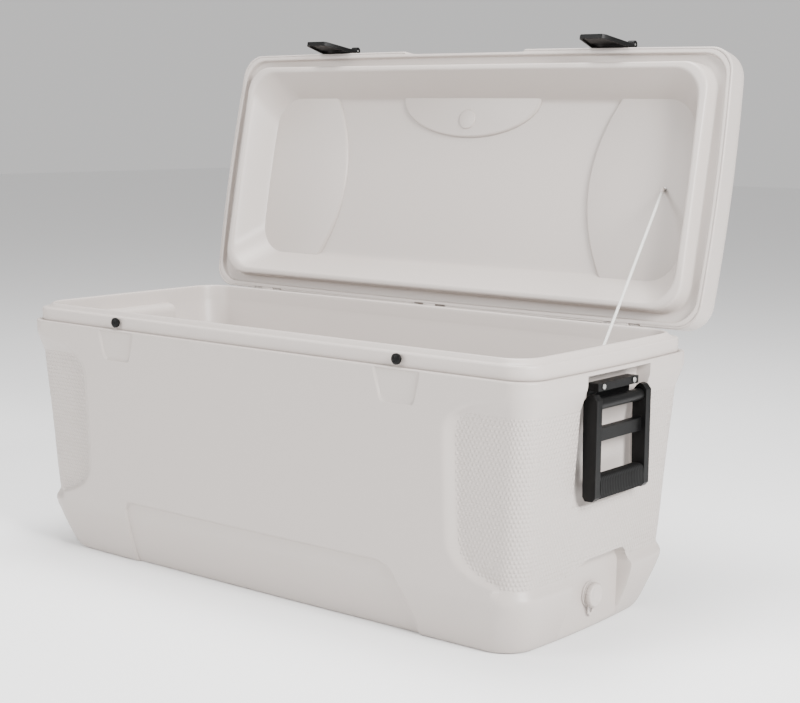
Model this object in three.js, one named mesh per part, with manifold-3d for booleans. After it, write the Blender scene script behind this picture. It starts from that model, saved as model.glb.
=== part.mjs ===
// Large insulated chest cooler with its lid open, built as separate named pieces.
// Millimetres, +Z up. X runs along the length (+X is the drain end), Y along the depth (the front, with the
// latches, faces -Y). The origin is on the floor under the middle of the tub.
import * as THREE from 'three';
import { mergeVertices } from 'three/addons/utils/BufferGeometryUtils.js';
import Module from 'manifold-3d';

const wasm = await Module();
wasm.setup();

// ---------------------------------------------------------------- driving dimensions
const HALF_LENGTH = 545; // widest band of the tub, at the corners
const HALF_DEPTH = 231.5;
const END_BOW = 5; // how far the ends and the long sides bulge between the corners
const SIDE_BOW = 3;
const CORNER_RADIUS = 42;
const SKIN = 3; // moulded wall
const GAP = 0.3; // between pieces that touch

const BAND_TOP = 416; // top edge of the outer shell
const COLLAR_INSET = 7;
const LEDGE_TOP = 438; // flat top of the collar that carries the lid
const LIP_TOP = 446;
const MOUTH = { x: 25, y: 21.5 }; // inset of the mouth from the band
const CAVITY_FLOOR = 38;
const RECESS_DEPTH = 10.5; // textured corners and ends lie this far inside the hull

const LID_BOTTOM = 438.4;
const LID_TOP = 517;
const PLUG_BOTTOM = 422.2;
const GROOVE_TOP = 448.5;
const LID_FLOOR = 485; // underside of the lid, inside its recess
const PAD_LEVEL = 479; // raised end pads and half-moon pad on that floor

const HINGE = { y: 239.2, z: 436.3 };
const HINGE_X = [-402, 0, 402];
const LID_OPEN = THREE.MathUtils.degToRad(101.44);

const LATCH_X = 307.6;
const LATCH_PIVOT = { y: -243, z: 461 };
const STUD_Z = 428.6;

const HANDLE_PIVOT = { x: 546, z: 366 };
const HANDLE_FRONT = 558; // front face of the bail
const BAIL_HALF = 77; // half of its outer width
const ARM = 14.5; // thickness of one arm

const DRAIN_Z = 58;
const NICHE_X = 503; // flat floor of the drain niche

const CORD_RADIUS = 2.5;
const CORD_LID = { x: 427, z: PAD_LEVEL - 6 }; // on the closed lid, y = 0
const CORD_TUB = { x: 513.5, z: 430 };

// ---------------------------------------------------------------- solids and meshes
function solidOf(geometry) {
  const bare = geometry.clone();
  bare.deleteAttribute('normal');
  bare.deleteAttribute('uv');
  const merged = mergeVertices(bare, 1e-4);
  return new wasm.Manifold(new wasm.Mesh({
    numProp: 3,
    vertProperties: new Float32Array(merged.attributes.position.array),
    triVerts: new Uint32Array(merged.index.array),
  }));
}

function geometryOf(solid) {
  const mesh = solid.getMesh();
  const geometry = new THREE.BufferGeometry();
  const stride = mesh.numProp;
  const points = new Float32Array((mesh.vertProperties.length / stride) * 3);
  for (let i = 0; i < points.length / 3; i += 1) {
    for (let k = 0; k < 3; k += 1) points[3 * i + k] = mesh.vertProperties[stride * i + k];
  }
  geometry.setAttribute('position', new THREE.BufferAttribute(points, 3));
  geometry.setIndex(new THREE.BufferAttribute(new Uint32Array(mesh.triVerts), 1));
  return geometry;
}

function joined(...solids) {
  return solids.reduce((all, next) => all.add(next));
}

function cut(solid, ...tools) {
  return tools.reduce((left, tool) => left.subtract(tool), solid);
}

function box([x0, y0, z0], [x1, y1, z1]) {
  const geometry = new THREE.BoxGeometry(x1 - x0, y1 - y0, z1 - z0);
  geometry.translate((x0 + x1) / 2, (y0 + y1) / 2, (z0 + z1) / 2);
  return solidOf(geometry);
}

// A cylinder from point `from`, `length` long in the direction 'x', 'y' or 'z'.
function rod(axis, from, length, radius, sides = 16) {
  const geometry = new THREE.CylinderGeometry(radius, radius, length, sides);
  if (axis === 'x') geometry.rotateZ(-Math.PI / 2);
  if (axis === 'z') geometry.rotateX(Math.PI / 2);
  const middle = new THREE.Vector3(...from);
  middle[axis] += length / 2;
  geometry.translate(middle.x, middle.y, middle.z);
  return solidOf(geometry);
}

// An outline of [a, b] points pushed along an axis: it lies in XZ for 'y', in YZ for 'x' and in XY for 'z'.
function prism(axis, outline, from, to) {
  const shape = new THREE.Shape(outline.map(([a, b]) => new THREE.Vector2(a, b)));
  const geometry = new THREE.ExtrudeGeometry(shape, { depth: to - from, bevelEnabled: false });
  geometry.translate(0, 0, axis === 'y' ? -to : from);
  if (axis === 'y') geometry.rotateX(Math.PI / 2);
  if (axis === 'x') geometry.rotateY(Math.PI / 2).rotateX(Math.PI / 2);
  return solidOf(geometry);
}

// ---------------------------------------------------------------- lofted forms
const CORNER_STEPS = 5;
const LONG_STEPS = 4;
const SHORT_STEPS = 3;

// One level of a loft: a bowed rectangle with round corners, inset from the band's outline.
function ring({ z, x, y, bow = 1, radius = CORNER_RADIUS + 0.2 * x }) {
  const halfX = HALF_LENGTH - x;
  const halfY = HALF_DEPTH - y;
  const points = [];
  for (let corner = 0; corner < 4; corner += 1) {
    const [signX, signY] = [[1, 1], [-1, 1], [-1, -1], [1, -1]][corner];
    const centre = new THREE.Vector2(signX * (halfX - radius), signY * (halfY - radius));
    for (let step = 0; step <= CORNER_STEPS; step += 1) {
      const angle = (corner + step / CORNER_STEPS) * (Math.PI / 2);
      points.push(new THREE.Vector3(
        centre.x + radius * Math.cos(angle), centre.y + radius * Math.sin(angle), z));
    }
    const along = corner % 2 === 0 ? 'x' : 'y';
    const steps = along === 'x' ? LONG_STEPS : SHORT_STEPS;
    const reach = along === 'x' ? halfX - radius : halfY - radius;
    const rise = bow * (along === 'x' ? SIDE_BOW : END_BOW);
    const startSign = along === 'x' ? signX : signY;
    const outward = along === 'x' ? signY : signX;
    for (let step = 1; step < steps; step += 1) {
      const t = startSign * (1 - (2 * step) / steps);
      const bulge = rise * (1 - t * t);
      points.push(along === 'x'
        ? new THREE.Vector3(t * reach, outward * (halfY + bulge), z)
        : new THREE.Vector3(outward * (halfX + bulge), t * reach, z));
    }
  }
  return points;
}

// Rings from low to high, joined into one closed body.
function loft(rings) {
  const count = rings[0].length;
  const positions = rings.flat().flatMap((p) => [p.x, p.y, p.z]);
  const index = [];
  for (let level = 0; level + 1 < rings.length; level += 1) {
    for (let i = 0; i < count; i += 1) {
      const a = level * count + i;
      const b = level * count + ((i + 1) % count);
      index.push(a, b, b + count, a, b + count, a + count);
    }
  }
  const caps = [[0, false], [(rings.length - 1) * count, true]];
  for (const [first, faceUp] of caps) {
    for (let i = 1; i + 1 < count; i += 1) {
      index.push(first, first + (faceUp ? i : i + 1), first + (faceUp ? i + 1 : i));
    }
  }
  const geometry = new THREE.BufferGeometry();
  geometry.setAttribute('position', new THREE.Float32BufferAttribute(positions, 3));
  geometry.setIndex(index);
  return solidOf(geometry);
}

// A loft from a table of [z, inset in X, inset in Y].
function body(table, options = {}) {
  return loft(table.map(([z, x, y]) => ring({ z, x, y, ...options })));
}

function between(table, z, column) {
  if (z <= table[0][0]) return table[0][column];
  for (let i = 0; i + 1 < table.length; i += 1) {
    const [low, high] = [table[i], table[i + 1]];
    if (z <= high[0]) {
      return low[column] + ((high[column] - low[column]) * (z - low[0])) / (high[0] - low[0]);
    }
  }
  return table[table.length - 1][column];
}

// ---------------------------------------------------------------- the tub's outer form
// [z, inset in X, inset in Y] of the plain hull.
const HULL = [
  [0, 52, 47], [4, 48, 43.5], [14, 43, 39], [40, 34, 30.5], [65, 25.5, 24], [89, 20, 18],
  [240, 9.8, 9], [393, 0.4, 0.4], [BAND_TOP, 0, 0],
];
// [z, extra inset] of the textured recess: a shelf below, a sloping underside of the band above.
const RECESS = [
  [84, -2], [89, 0], [95, 2.5], [101, 6.5], [107, 9.6], [113, 1], [355, 1], [366, 0.8], [392, 0], [396, -2],
].map(([z, share]) => [z, z >= 113 && z <= 366 ? share * RECESS_DEPTH : share]);
// [z, half-length] of the smooth middle of the long sides, where the recess ends.
const MIDDLE = [
  [84, 570], [90, 530], [97, 508], [103, 490], [110, 458], [118, 436], [128, 417], [141, 403], [156, 395],
  [176, 391], [328, 391], [343, 395], [355, 403], [366, 418], [376, 442], [386, 490], [394, 570],
];
const BORDER_RUN = 18; // width of the slope between the smooth middle and the recess
const MIDDLE_REACH = 513; // the smooth middle stays behind the recessed ends

function hullInset(z, column) {
  return between(HULL, z, column);
}

function levels(...tables) {
  return [...new Set(tables.flat().map(([z]) => z))].sort((a, b) => a - b);
}

// The tub's outside, moved inwards by `offset`, up to the band's top.
function outsideForm(offset) {
  const top = BAND_TOP - offset;
  const hull = body(HULL.map(([z, x, y]) => [Math.min(Math.max(z, offset), top), x + offset, y + offset])
    .filter(([z], i, all) => i === 0 || z > all[i - 1][0] + 0.01));
  const recessed = body(levels(HULL, RECESS).map((z) => [
    z === 0 ? -5 : z,
    hullInset(z, 1) + between(RECESS, z, 1) + offset,
    hullInset(z, 2) + between(RECESS, z, 1) + offset,
  ]));
  const slope = RECESS_DEPTH / BORDER_RUN;
  const [outer, inner] = [20, 32]; // how far the border's slope is carried past the hull and the recess
  const middle = loft([[-5, 570], ...MIDDLE, [BAND_TOP + 5, 570]].map(([z, half]) => {
    const hullY = HALF_DEPTH - hullInset(z, 2) + SIDE_BOW * (1 - (half / 560) ** 2) - offset;
    const [far, near] = [hullY + outer * slope, hullY - inner * slope];
    return [
      [half - outer, far], [outer - half, far], [-half - inner, near], [-half - inner, -near],
      [outer - half, -far], [half - outer, -far], [half + inner, -near], [half + inner, near],
    ].map(([x, y]) => new THREE.Vector3(x, y, z));
  }));
  const reach = box([offset - MIDDLE_REACH, -300, -20], [MIDDLE_REACH - offset, 300, 450]);
  return hull.intersect(recessed.add(middle.intersect(reach)));
}

// Everything cut from the tub's outside, grown by `offset`.
function outsideCuts(offset) {
  const grown = offset;
  const pads = [-1, 1].map((side) => {
    const [topHalf, bottomHalf, corner] = [42 + grown, 32.5 + grown, 8];
    const [high, low] = [413 + grown, 363 - grown];
    const outline = [
      [-topHalf, high], [-bottomHalf - 1, low + corner], [-bottomHalf + 1.5, low + 2.5],
      [-bottomHalf + corner, low], [bottomHalf - corner, low], [bottomHalf - 1.5, low + 2.5],
      [bottomHalf + 1, low + corner], [topHalf, high],
    ].map(([x, z]) => [side * LATCH_X + x, z]);
    return prism('y', outline, -260, -230.6 + grown);
  });
  const panelOutline = [
    [-309 - grown, 20], [-309 - grown, 100], [-304 - grown, 109 + grown], [-296, 113 + grown],
    [252, 113 + grown], [274 + grown, 108 + grown], [290 + grown, 90], [313 + grown, 20],
    [318 + grown, -5], [-309 - grown, -5],
  ];
  const panelDepth = 5;
  const panel = cut(
    prism('y', panelOutline, -260, -150),
    body(HULL.map(([z, x, y]) => [z === 0 ? -9 : z, x + panelDepth + grown, y + panelDepth + grown])));
  const channelHalf = 87 + grown;
  const channel = [-1, 1].map((side) => {
    const back = [
      [533, 207 - grown], [527 - grown, 213], [521 - grown, 226], [518 - grown, 245], [518 - grown, 325],
      [521.5 - grown, 340], [526 - grown, 352], [526 - grown, 396 + grown], [528 - grown, 403 + grown],
      [534, 408.5 + grown], [542, 410.5 + grown],
    ];
    const outline = [[580, 207 - grown], ...back, [580, 410.5 + grown]];
    return prism('y', outline.map(([x, z]) => [side * x, z]), -channelHalf, channelHalf);
  });
  const nicheHalf = 82 + grown;
  const niche = prism('x', [
    [-nicheHalf, -8], [nicheHalf, -8], [nicheHalf, 96], [nicheHalf - 6, 113 + grown], [60, 121 + grown],
    [-30, 121 + grown], [-62, 112 + grown], [-nicheHalf, 92],
  ], NICHE_X - grown, 600);
  const hingeSeats = HINGE_X.map((x) => box(
    [x - 36 - grown, 229 - grown, 356 - grown], [x + 36 + grown, 260, BAND_TOP + 5]));
  return [...pads, panel, ...channel, niche, ...hingeSeats];
}

// [z, inset in X, inset in Y] of the cavity.
const CAVITY = [
  [CAVITY_FLOOR, 69, 59], [CAVITY_FLOOR + 1.5, 66, 55], [CAVITY_FLOOR + 4, 64.6, 53],
  [CAVITY_FLOOR + 12, 63.8, 51.5], [112, 58, 46.5],
  [340, 41.5, 33.5], [419, 27.5, 23.5], [LIP_TOP + 5, MOUTH.x, MOUTH.y],
];
const CAVITY_CORNER = 42; // radius of the cavity's corners, seen from above
const FLOOR_SEAM = 50; // the liner's floor and its walls are two solids that meet here
const BOSS_HALF = 84; // the inner end walls stand proud behind the handles

function cavityForm(offset) {
  const table = CAVITY.map(([z, x, y]) => [z - (z < 60 ? offset : 0), x - offset, y - offset]);
  const boss = [-1, 1].map((side) => prism('y', [
    [491, 0, 0], [493.5, 405, 0.4], [497, 415, 0.7], [503, 419, 1], [560, 419, 1], [560, 0, 0],
  ].map(([x, z, drop]) => [side * (x + offset), z - drop * offset]),
  -BOSS_HALF + offset, BOSS_HALF - offset));
  const tallBoss = boss.map((b) => b.intersect(box([-560, -200, 150], [560, 200, 430])));
  return cut(body(table, { bow: 0, radius: CAVITY_CORNER }), ...tallBoss);
}

// The collar and lip above the band, moved inwards by `offset`.
function collarForm(offset) {
  const table = offset === 0
    ? [[405, COLLAR_INSET, COLLAR_INSET], [436, COLLAR_INSET, COLLAR_INSET], [LEDGE_TOP, 9, 9],
      [LEDGE_TOP + 0.3, 15.5, 14], [444.5, 20, 16.5], [LIP_TOP, 22, 18.5]]
    : [[405, COLLAR_INSET + offset, COLLAR_INSET + offset],
      [LEDGE_TOP - offset, COLLAR_INSET + offset, COLLAR_INSET + offset]];
  return body(table);
}

const DRAIN_HOLE = 11.6;

// The whole tub as one block with its cavity, moved inwards by `offset`.
function tub(offset) {
  const block = cut(joined(outsideForm(offset), collarForm(offset)), ...outsideCuts(offset));
  return cut(block, cavityForm(offset), rod('x', [460, 0, DRAIN_Z], 80, DRAIN_HOLE + offset, 20));
}

// The space of the inner liner, shrunk by `offset`: all above the band, and inside the walls' middle.
function linerSpace(offset) {
  const inside = body([
    [19 + offset, 68, 54], [60, 53.5, 41], [112, 48, 38.5], [280, 36.5, 29], [345, 33, 26], [393, 24, 19],
    [BAND_TOP + 10, 14, 12],
  ].map(([z, x, y]) => [z, x + offset, y + offset]), { bow: 0, radius: CAVITY_CORNER + 4 });
  return inside.add(box([-600, -300, BAND_TOP + offset], [600, 300, 500]));
}

// ---------------------------------------------------------------- the lid's form, closed
// [z, inset] of the lid's outside.
const LID_OUTSIDE = [
  [LID_BOTTOM, 1.2], [LID_BOTTOM + 1.4, 0], [474, 0.6], [484, 2.2], [493, 6], [501, 12], [508, 20.5],
  [513, 31], [516, 46], [LID_TOP, 95],
];
const PLUG = { x: 33, y: 26.5, baseX: 28, baseY: 24 };
const LID_RECESS = { mouthX: 48.5, mouthY: 39, floorX: 79, floorY: 80.5 };
const END_PAD_EDGE = 275; // nearest to the middle
const HALF_MOON = { chord: 155, reach: 72 };

function finger(offset) {
  const grown = offset;
  return prism('y', [
    [-134 - grown, LID_BOTTOM - 2], [134 + grown, LID_BOTTOM - 2],
    [126 + grown, 466 + grown], [-126 - grown, 466 + grown],
  ], -260, -229 + grown);
}

// Raised pads on the lid's inner floor: a half-moon at the front and one at each end.
function lidPads(offset) {
  const [low, high] = [PAD_LEVEL + offset, 530];
  const front = -(HALF_DEPTH - LID_RECESS.floorY) - 40;
  const moon = [[-HALF_MOON.chord + offset, front]];
  for (let step = 0; step <= 12; step += 1) {
    const angle = Math.PI * (1 - step / 12);
    moon.push([
      (HALF_MOON.chord - offset) * Math.cos(angle),
      -155 + (HALF_MOON.reach - offset) * Math.sin(angle),
    ]);
  }
  moon.push([HALF_MOON.chord - offset, front]);
  const ends = [-1, 1].map((side) => {
    const outline = [[side * 560, -230], [side * 560, 230]];
    for (let step = 10; step >= 0; step -= 1) {
      const y = -190 + 38 * step;
      outline.push([side * (END_PAD_EDGE + offset + 43 * (y / 152) ** 2), y]);
    }
    return prism('z', outline, low, high);
  });
  const boss = rod('z', [0, -114, low - 2.5], 40, 18 - offset, 24);
  return joined(prism('z', moon, low, high), ...ends, boss);
}

// The whole lid as one block, moved inwards by `offset`.
function lid(offset) {
  const outside = body([
    ...LID_OUTSIDE.map(([z, inset]) => [
      Math.min(Math.max(z, LID_BOTTOM + offset), LID_TOP - offset), inset + offset]),
  ].filter(([z], i, all) => i === 0 || z > all[i - 1][0] + 0.01).map(([z, inset]) => [z, inset, inset]));
  const grooveSlab = body([
    [430, 10 - offset], [GROOVE_TOP + offset, 11 - offset],
  ].map(([z, inset]) => [z, inset, inset]));
  const plug = body([
    [PLUG_BOTTOM + offset, PLUG.x + 2.5 + offset, PLUG.y + 2.5 + offset],
    [PLUG_BOTTOM + 2.5 + offset, PLUG.x + offset, PLUG.y + offset],
    [GROOVE_TOP + 4, PLUG.baseX + offset, PLUG.baseY + offset],
  ], { bow: 0 });
  const { mouthX, mouthY, floorX, floorY } = LID_RECESS;
  const recess = body([
    [PLUG_BOTTOM - 6, mouthX - 4 - offset, mouthY - 4 - offset],
    [PLUG_BOTTOM, mouthX - 2.5 - offset, mouthY - 2.5 - offset],
    [PLUG_BOTTOM + 3.5, mouthX - offset, mouthY - offset],
    [LID_FLOOR - 4, floorX - 4 - offset, floorY - 5 - offset],
    [LID_FLOOR + offset, floorX + 3 - offset, floorY + 3 - offset],
  ], { bow: 0.4 });
  return cut(
    joined(cut(outside, grooveSlab), plug),
    cut(recess, lidPads(offset)),
    finger(offset),
    ...HINGE_X.map((x) => box([x - 36 - offset, 229 - offset, 420], [x + 36 + offset, 260, 484 + offset])));
}

// The space that belongs to the lid's inner liner, shrunk by `offset`.
function lidLinerSpace(offset) {
  return body([
    [400, SKIN + offset], [LID_BOTTOM + SKIN, SKIN + offset], [LID_BOTTOM + SKIN + 0.1, 5.2 + offset],
    [GROOVE_TOP + 3 - offset, 5.2 + offset], [GROOVE_TOP + 4 - offset, 16 + offset],
    [500 - offset, 44 + offset],
  ].map(([z, inset]) => [z, inset, inset]));
}

// ---------------------------------------------------------------- small hardware
const SCREW = { head: 4.2, headHeight: 1.8, shank: 2, hole: 2.4 };

// A pan-head screw driven along -Y, or +Y, at x, z, with its head's underside at y.
function screwAt(x, y, z, inwards, length) {
  const head = rod('y', [x, inwards > 0 ? y - SCREW.headHeight : y, z], SCREW.headHeight, SCREW.head, 12);
  const shank = rod('y', [x, inwards > 0 ? y : y - length, z], length, SCREW.shank, 8);
  const slot = box(
    [x - 0.5, inwards > 0 ? y - 3 : y + 1, z - 2.6], [x + 0.5, inwards > 0 ? y - 1 : y + 3, z + 2.6]);
  return cut(head.add(shank), slot);
}

function endScrewAt(side, x, y, z, length) {
  const head = rod('x', [side > 0 ? x : -x - SCREW.headHeight, y, z], SCREW.headHeight, SCREW.head, 12);
  const shank = rod('x', [side > 0 ? x - length : -x, y, z], length, SCREW.shank, 8);
  return head.add(shank);
}

// Hinge: a leaf on the tub, a leaf on the lid (drawn closed) and a pin.
const LEAF = { back: 229.3, front: 232.3, half: 32, tubLow: 362, tubHigh: 431, lidLow: 441.5, lidHigh: 480 };
const KNUCKLE = { radius: 6, bore: 2.85, pin: 2.5, third: 13 };
const TUB_SCREW_Z = 382;
const LID_SCREW_Z = 468;
const LEAF_SCREW_X = 22;

function knuckle(x, from, to, webLow, webHigh) {
  const barrel = rod('x', [x + from, HINGE.y, HINGE.z], to - from, KNUCKLE.radius, 16);
  const web = box([x + from, LEAF.back, webLow], [x + to, HINGE.y, webHigh]);
  return barrel.add(web);
}

function hingeLeaf(x, onLid) {
  const [low, high] = onLid ? [LEAF.lidLow, LEAF.lidHigh] : [LEAF.tubLow, LEAF.tubHigh];
  const plate = box([x - LEAF.half, LEAF.back, low], [x + LEAF.half, LEAF.front, high]);
  const { third } = KNUCKLE;
  const knuckles = onLid
    ? [knuckle(x, -third + 0.3, third - 0.3, HINGE.z, LEAF.lidLow + 3)]
    : [knuckle(x, -LEAF.half, -third, LEAF.tubHigh - 4, HINGE.z),
      knuckle(x, third, LEAF.half, LEAF.tubHigh - 4, HINGE.z)];
  const screwZ = onLid ? LID_SCREW_Z : TUB_SCREW_Z;
  const holes = [-1, 1].map((side) => rod(
    'y', [x + side * LEAF_SCREW_X, LEAF.back - 2, screwZ], 8, SCREW.hole, 8));
  const clearance = rod('x', [x - LEAF.half - 5, HINGE.y, HINGE.z], 2 * LEAF.half + 10, KNUCKLE.bore, 16);
  return cut(joined(plate, ...knuckles), clearance, ...holes);
}

// Latch, drawn with the lid closed: a bracket on the lid, a pin and a lever that hangs over the stud.
const LEVER = {
  topHalf: 37.5, tipHalf: 25.5, top: 463, tip: 379, plateBack: -238, plateFront: -242, cheekBack: -234.2,
};
const BRACKET = { half: 24, back: -233.6, low: 450, high: 476, screwX: 14, screwZ: 470 };
const LATCH_PIN = { radius: 2, bore: 2.35, boss: 4.6 };

function latchLever(x) {
  const outline = (inset) => [
    [-LEVER.topHalf + inset, LEVER.top], [-LEVER.topHalf + inset, 438],
    [-LEVER.tipHalf + inset, LEVER.tip + 5 + inset],
    [-LEVER.tipHalf + 5 + inset, LEVER.tip + inset], [LEVER.tipHalf - 5 - inset, LEVER.tip + inset],
    [LEVER.tipHalf - inset, LEVER.tip + 5 + inset], [LEVER.topHalf - inset, 438],
    [LEVER.topHalf - inset, LEVER.top],
  ].map(([a, z]) => [x + a, z]);
  const shell = cut(
    prism('y', outline(0), LEVER.plateFront, LEVER.cheekBack),
    prism('y', outline(3), LEVER.plateBack, LEVER.cheekBack + 5),
    box([x - LEVER.topHalf + 3, LEVER.plateFront - 5, 450], [x + LEVER.topHalf - 3, -200, 480]));
  const ears = [-1, 1].map((side) => {
    const from = side > 0 ? x + BRACKET.half + 0.6 : x - LEVER.topHalf;
    return rod('x', [from, LATCH_PIVOT.y, LATCH_PIVOT.z], LEVER.topHalf - BRACKET.half - 0.6, 7, 16);
  });
  const bore = rod('x', [x - 60, LATCH_PIVOT.y, LATCH_PIVOT.z], 120, LATCH_PIN.bore, 12);
  return cut(joined(shell, ...ears), bore);
}

function latchBracket(x) {
  const plate = box(
    [x - BRACKET.half, LATCH_PIVOT.y + 3, BRACKET.low + 4], [x + BRACKET.half, BRACKET.back, BRACKET.high]);
  const barrel = rod(
    'x', [x - BRACKET.half, LATCH_PIVOT.y, LATCH_PIVOT.z], 2 * BRACKET.half, LATCH_PIN.boss, 16);
  const bore = rod('x', [x - 60, LATCH_PIVOT.y, LATCH_PIVOT.z], 120, LATCH_PIN.bore, 12);
  const holes = [-1, 1].map((side) => rod(
    'y', [x + side * BRACKET.screwX, -250, BRACKET.screwZ], 30, SCREW.hole, 8));
  return cut(plate.add(barrel), bore, ...holes);
}

// Catch stud on the collar: a neck and a faceted head.
function catchStud(x) {
  const profile = [
    [0, -236], [6.8, -236], [8.6, -233.5], [8.4, -229.8], [6, -229], [6, -226.9], [0, -226.9],
  ];
  const geometry = new THREE.LatheGeometry(profile.map(([r, y]) => new THREE.Vector2(r, y)), 10);
  geometry.translate(x, 0, STUD_Z);
  return solidOf(geometry).add(rod('y', [x, -228, STUD_Z], 10, 3, 8));
}

// End handle, drawn on the +X end: bracket with its barrel, rod, bail and ribbed grip sleeve.
const WINDOW = { low: 261, high: 310 };
const BAIL = { back: 534, top: 383, low: 223 };
const HANDLE_BRACKET = { half: 57, back: 526.4, front: 547, low: 353, flangeLow: 384, top: 396 };
const BARREL_HALF = 62;
const HANDLE_ROD = { radius: 3, bore: 3.3 };
const GRIP_CORE = { back: 539, front: 553, low: 229, high: 254 };

function handleBracket() {
  const { half, back, front, low, flangeLow, top } = HANDLE_BRACKET;
  const plate = box([back, -half, low], [back + 5, half, top]);
  const flange = box([back, -half, flangeLow], [front, half, top]);
  const web = box([back + 2, -half, HANDLE_PIVOT.z - 4], [HANDLE_PIVOT.x, half, HANDLE_PIVOT.z + 4]);
  const barrel = rod('y', [HANDLE_PIVOT.x, -BARREL_HALF, HANDLE_PIVOT.z], 2 * BARREL_HALF, 9.2, 18);
  const bore = rod('y', [HANDLE_PIVOT.x, -90, HANDLE_PIVOT.z], 180, HANDLE_ROD.bore, 12);
  const holes = [-1, 1].map((side) => rod('x', [520, side * 43, 390.5], 60, SCREW.hole, 8));
  return cut(joined(plate, flange, web, barrel), bore, ...holes);
}

function handleBail() {
  const front = HANDLE_FRONT;
  const { back, top, low } = BAIL;
  const side = [
    [back + 2, low + 6], [back + 6, low], [front - 5, low], [front, low + 6], [front, top - 9],
    [front - 6, top - 1.5],
    [front - 13, top], [back + 6, top - 4], [back, top - 12], [back, 340],
  ];
  const arms = [-1, 1].map((sign) => prism(
    'y', side, sign > 0 ? BAIL_HALF - ARM : -BAIL_HALF, sign > 0 ? BAIL_HALF : ARM - BAIL_HALF));
  const crossbar = box([538, -BAIL_HALF + 2, WINDOW.high], [550, BAIL_HALF - 2, 330]);
  const core = box(
    [GRIP_CORE.back, -BAIL_HALF + 2, GRIP_CORE.low], [GRIP_CORE.front, BAIL_HALF - 2, GRIP_CORE.high]);
  const bore = rod('y', [HANDLE_PIVOT.x, -73, HANDLE_PIVOT.z], 146, HANDLE_ROD.bore, 12);
  return cut(joined(...arms, crossbar, core), bore);
}

function handleGrip() {
  const outline = [
    [BAIL.back + 0.5, 229], [BAIL.back + 5, 223.5], [HANDLE_FRONT - 5, 223.5], [HANDLE_FRONT + 0.5, 229],
    [HANDLE_FRONT + 0.5, 254], [HANDLE_FRONT - 5, WINDOW.low - 1], [BAIL.back + 5, WINDOW.low - 1],
    [BAIL.back + 0.5, 254],
  ];
  const half = BAIL_HALF - ARM - GAP;
  const hollow = box(
    [GRIP_CORE.back - GAP, -80, GRIP_CORE.low - GAP], [GRIP_CORE.front + GAP, 80, GRIP_CORE.high + GAP]);
  return cut(prism('y', outline, -half, half), hollow);
}

// ---------------------------------------------------------------- the drain
const SPOUT = { bore: 8, tube: 11, flange: 20, tip: 514, inner: 472 };

function ringAlongX(from, to, outer, inner) {
  const hole = rod('x', [from - 5, 0, DRAIN_Z], to - from + 10, inner, 20);
  return cut(rod('x', [from, 0, DRAIN_Z], to - from, outer, 20), hole);
}

function drainTether() {
  const washer = ringAlongX(507, 508.8, 18.5, SPOUT.tube + 0.4);
  const loop = cut(
    box([507, -8, 29], [508.8, 8, 43]).add(rod('x', [507, 0, 33], 1.8, 8, 16)),
    rod('x', [500, 0, 33], 20, 4, 12),
    rod('x', [500, 0, DRAIN_Z], 20, SPOUT.tube + 0.4, 20));
  return washer.add(loop);
}

function drainCap() {
  const profile = [[509.2, 17.6], [511, 19.6], [516.5, 19.6], [519, 17.6]];
  const outer = profile.slice(1).map(([x1, r1], i) => {
    const [x0, r0] = profile[i];
    const geometry = new THREE.CylinderGeometry(r1, r0, x1 - x0, 20);
    geometry.rotateZ(-Math.PI / 2);
    geometry.translate((x0 + x1) / 2, 0, DRAIN_Z);
    return solidOf(geometry);
  });
  return cut(joined(...outer), rod('x', [505, 0, DRAIN_Z], 11.6, SPOUT.tube + 0.6, 20));
}

// ---------------------------------------------------------------- the lid's stay cord
function opened(x, y, z) {
  const point = new THREE.Vector3(x, y - HINGE.y, z - HINGE.z);
  point.applyAxisAngle(new THREE.Vector3(1, 0, 0), -LID_OPEN);
  return point.add(new THREE.Vector3(0, HINGE.y, HINGE.z));
}

function stayCord() {
  const from = opened(CORD_LID.x, 0, CORD_LID.z);
  const to = new THREE.Vector3(CORD_TUB.x, 0, CORD_TUB.z);
  const shape = new THREE.Shape();
  shape.absarc(0, 0, CORD_RADIUS, 0, 2 * Math.PI);
  return solidOf(new THREE.ExtrudeGeometry(shape, {
    extrudePath: new THREE.LineCurve3(from, to), steps: 16, curveSegments: 5, bevelEnabled: false,
  }));
}

// ---------------------------------------------------------------- materials
const finishes = {
  shell: { color: 0xd6d1cb, roughness: 0.45, metalness: 0 },
  liner: { color: 0xd2cdc6, roughness: 0.5, metalness: 0 },
  foam: { color: 0xe6d9a8, roughness: 0.95, metalness: 0 },
  hinge: { color: 0xcfcac3, roughness: 0.45, metalness: 0 },
  steel: { color: 0x9a9a98, roughness: 0.35, metalness: 1 },
  black: { color: 0x161616, roughness: 0.5, metalness: 0 },
  grip: { color: 0x1c1c1c, roughness: 0.75, metalness: 0 },
  drain: { color: 0xcdc8c1, roughness: 0.45, metalness: 0 },
  seal: { color: 0x2a2a2a, roughness: 0.85, metalness: 0 },
  cord: { color: 0xe4e1db, roughness: 0.85, metalness: 0 },
};

function piece(name, solid, finish) {
  const mesh = new THREE.Mesh(geometryOf(solid), new THREE.MeshStandardMaterial(finishes[finish]));
  mesh.name = name;
  return mesh;
}

// ---------------------------------------------------------------- assembly
const group = new THREE.Group();
const lidGroup = new THREE.Group(); // its pieces are drawn closed, in the tub's frame
lidGroup.position.set(0, HINGE.y, HINGE.z);
lidGroup.rotation.x = -LID_OPEN;
const closed = new THREE.Group();
closed.position.set(0, -HINGE.y, -HINGE.z);
lidGroup.add(closed);
group.add(lidGroup);

const SCREW_DEPTH = 12;
const sideNames = [['left', -1], ['right', 1]];
const hingeNames = ['left', 'middle', 'right'].map((name, i) => [name, HINGE_X[i]]);

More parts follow.
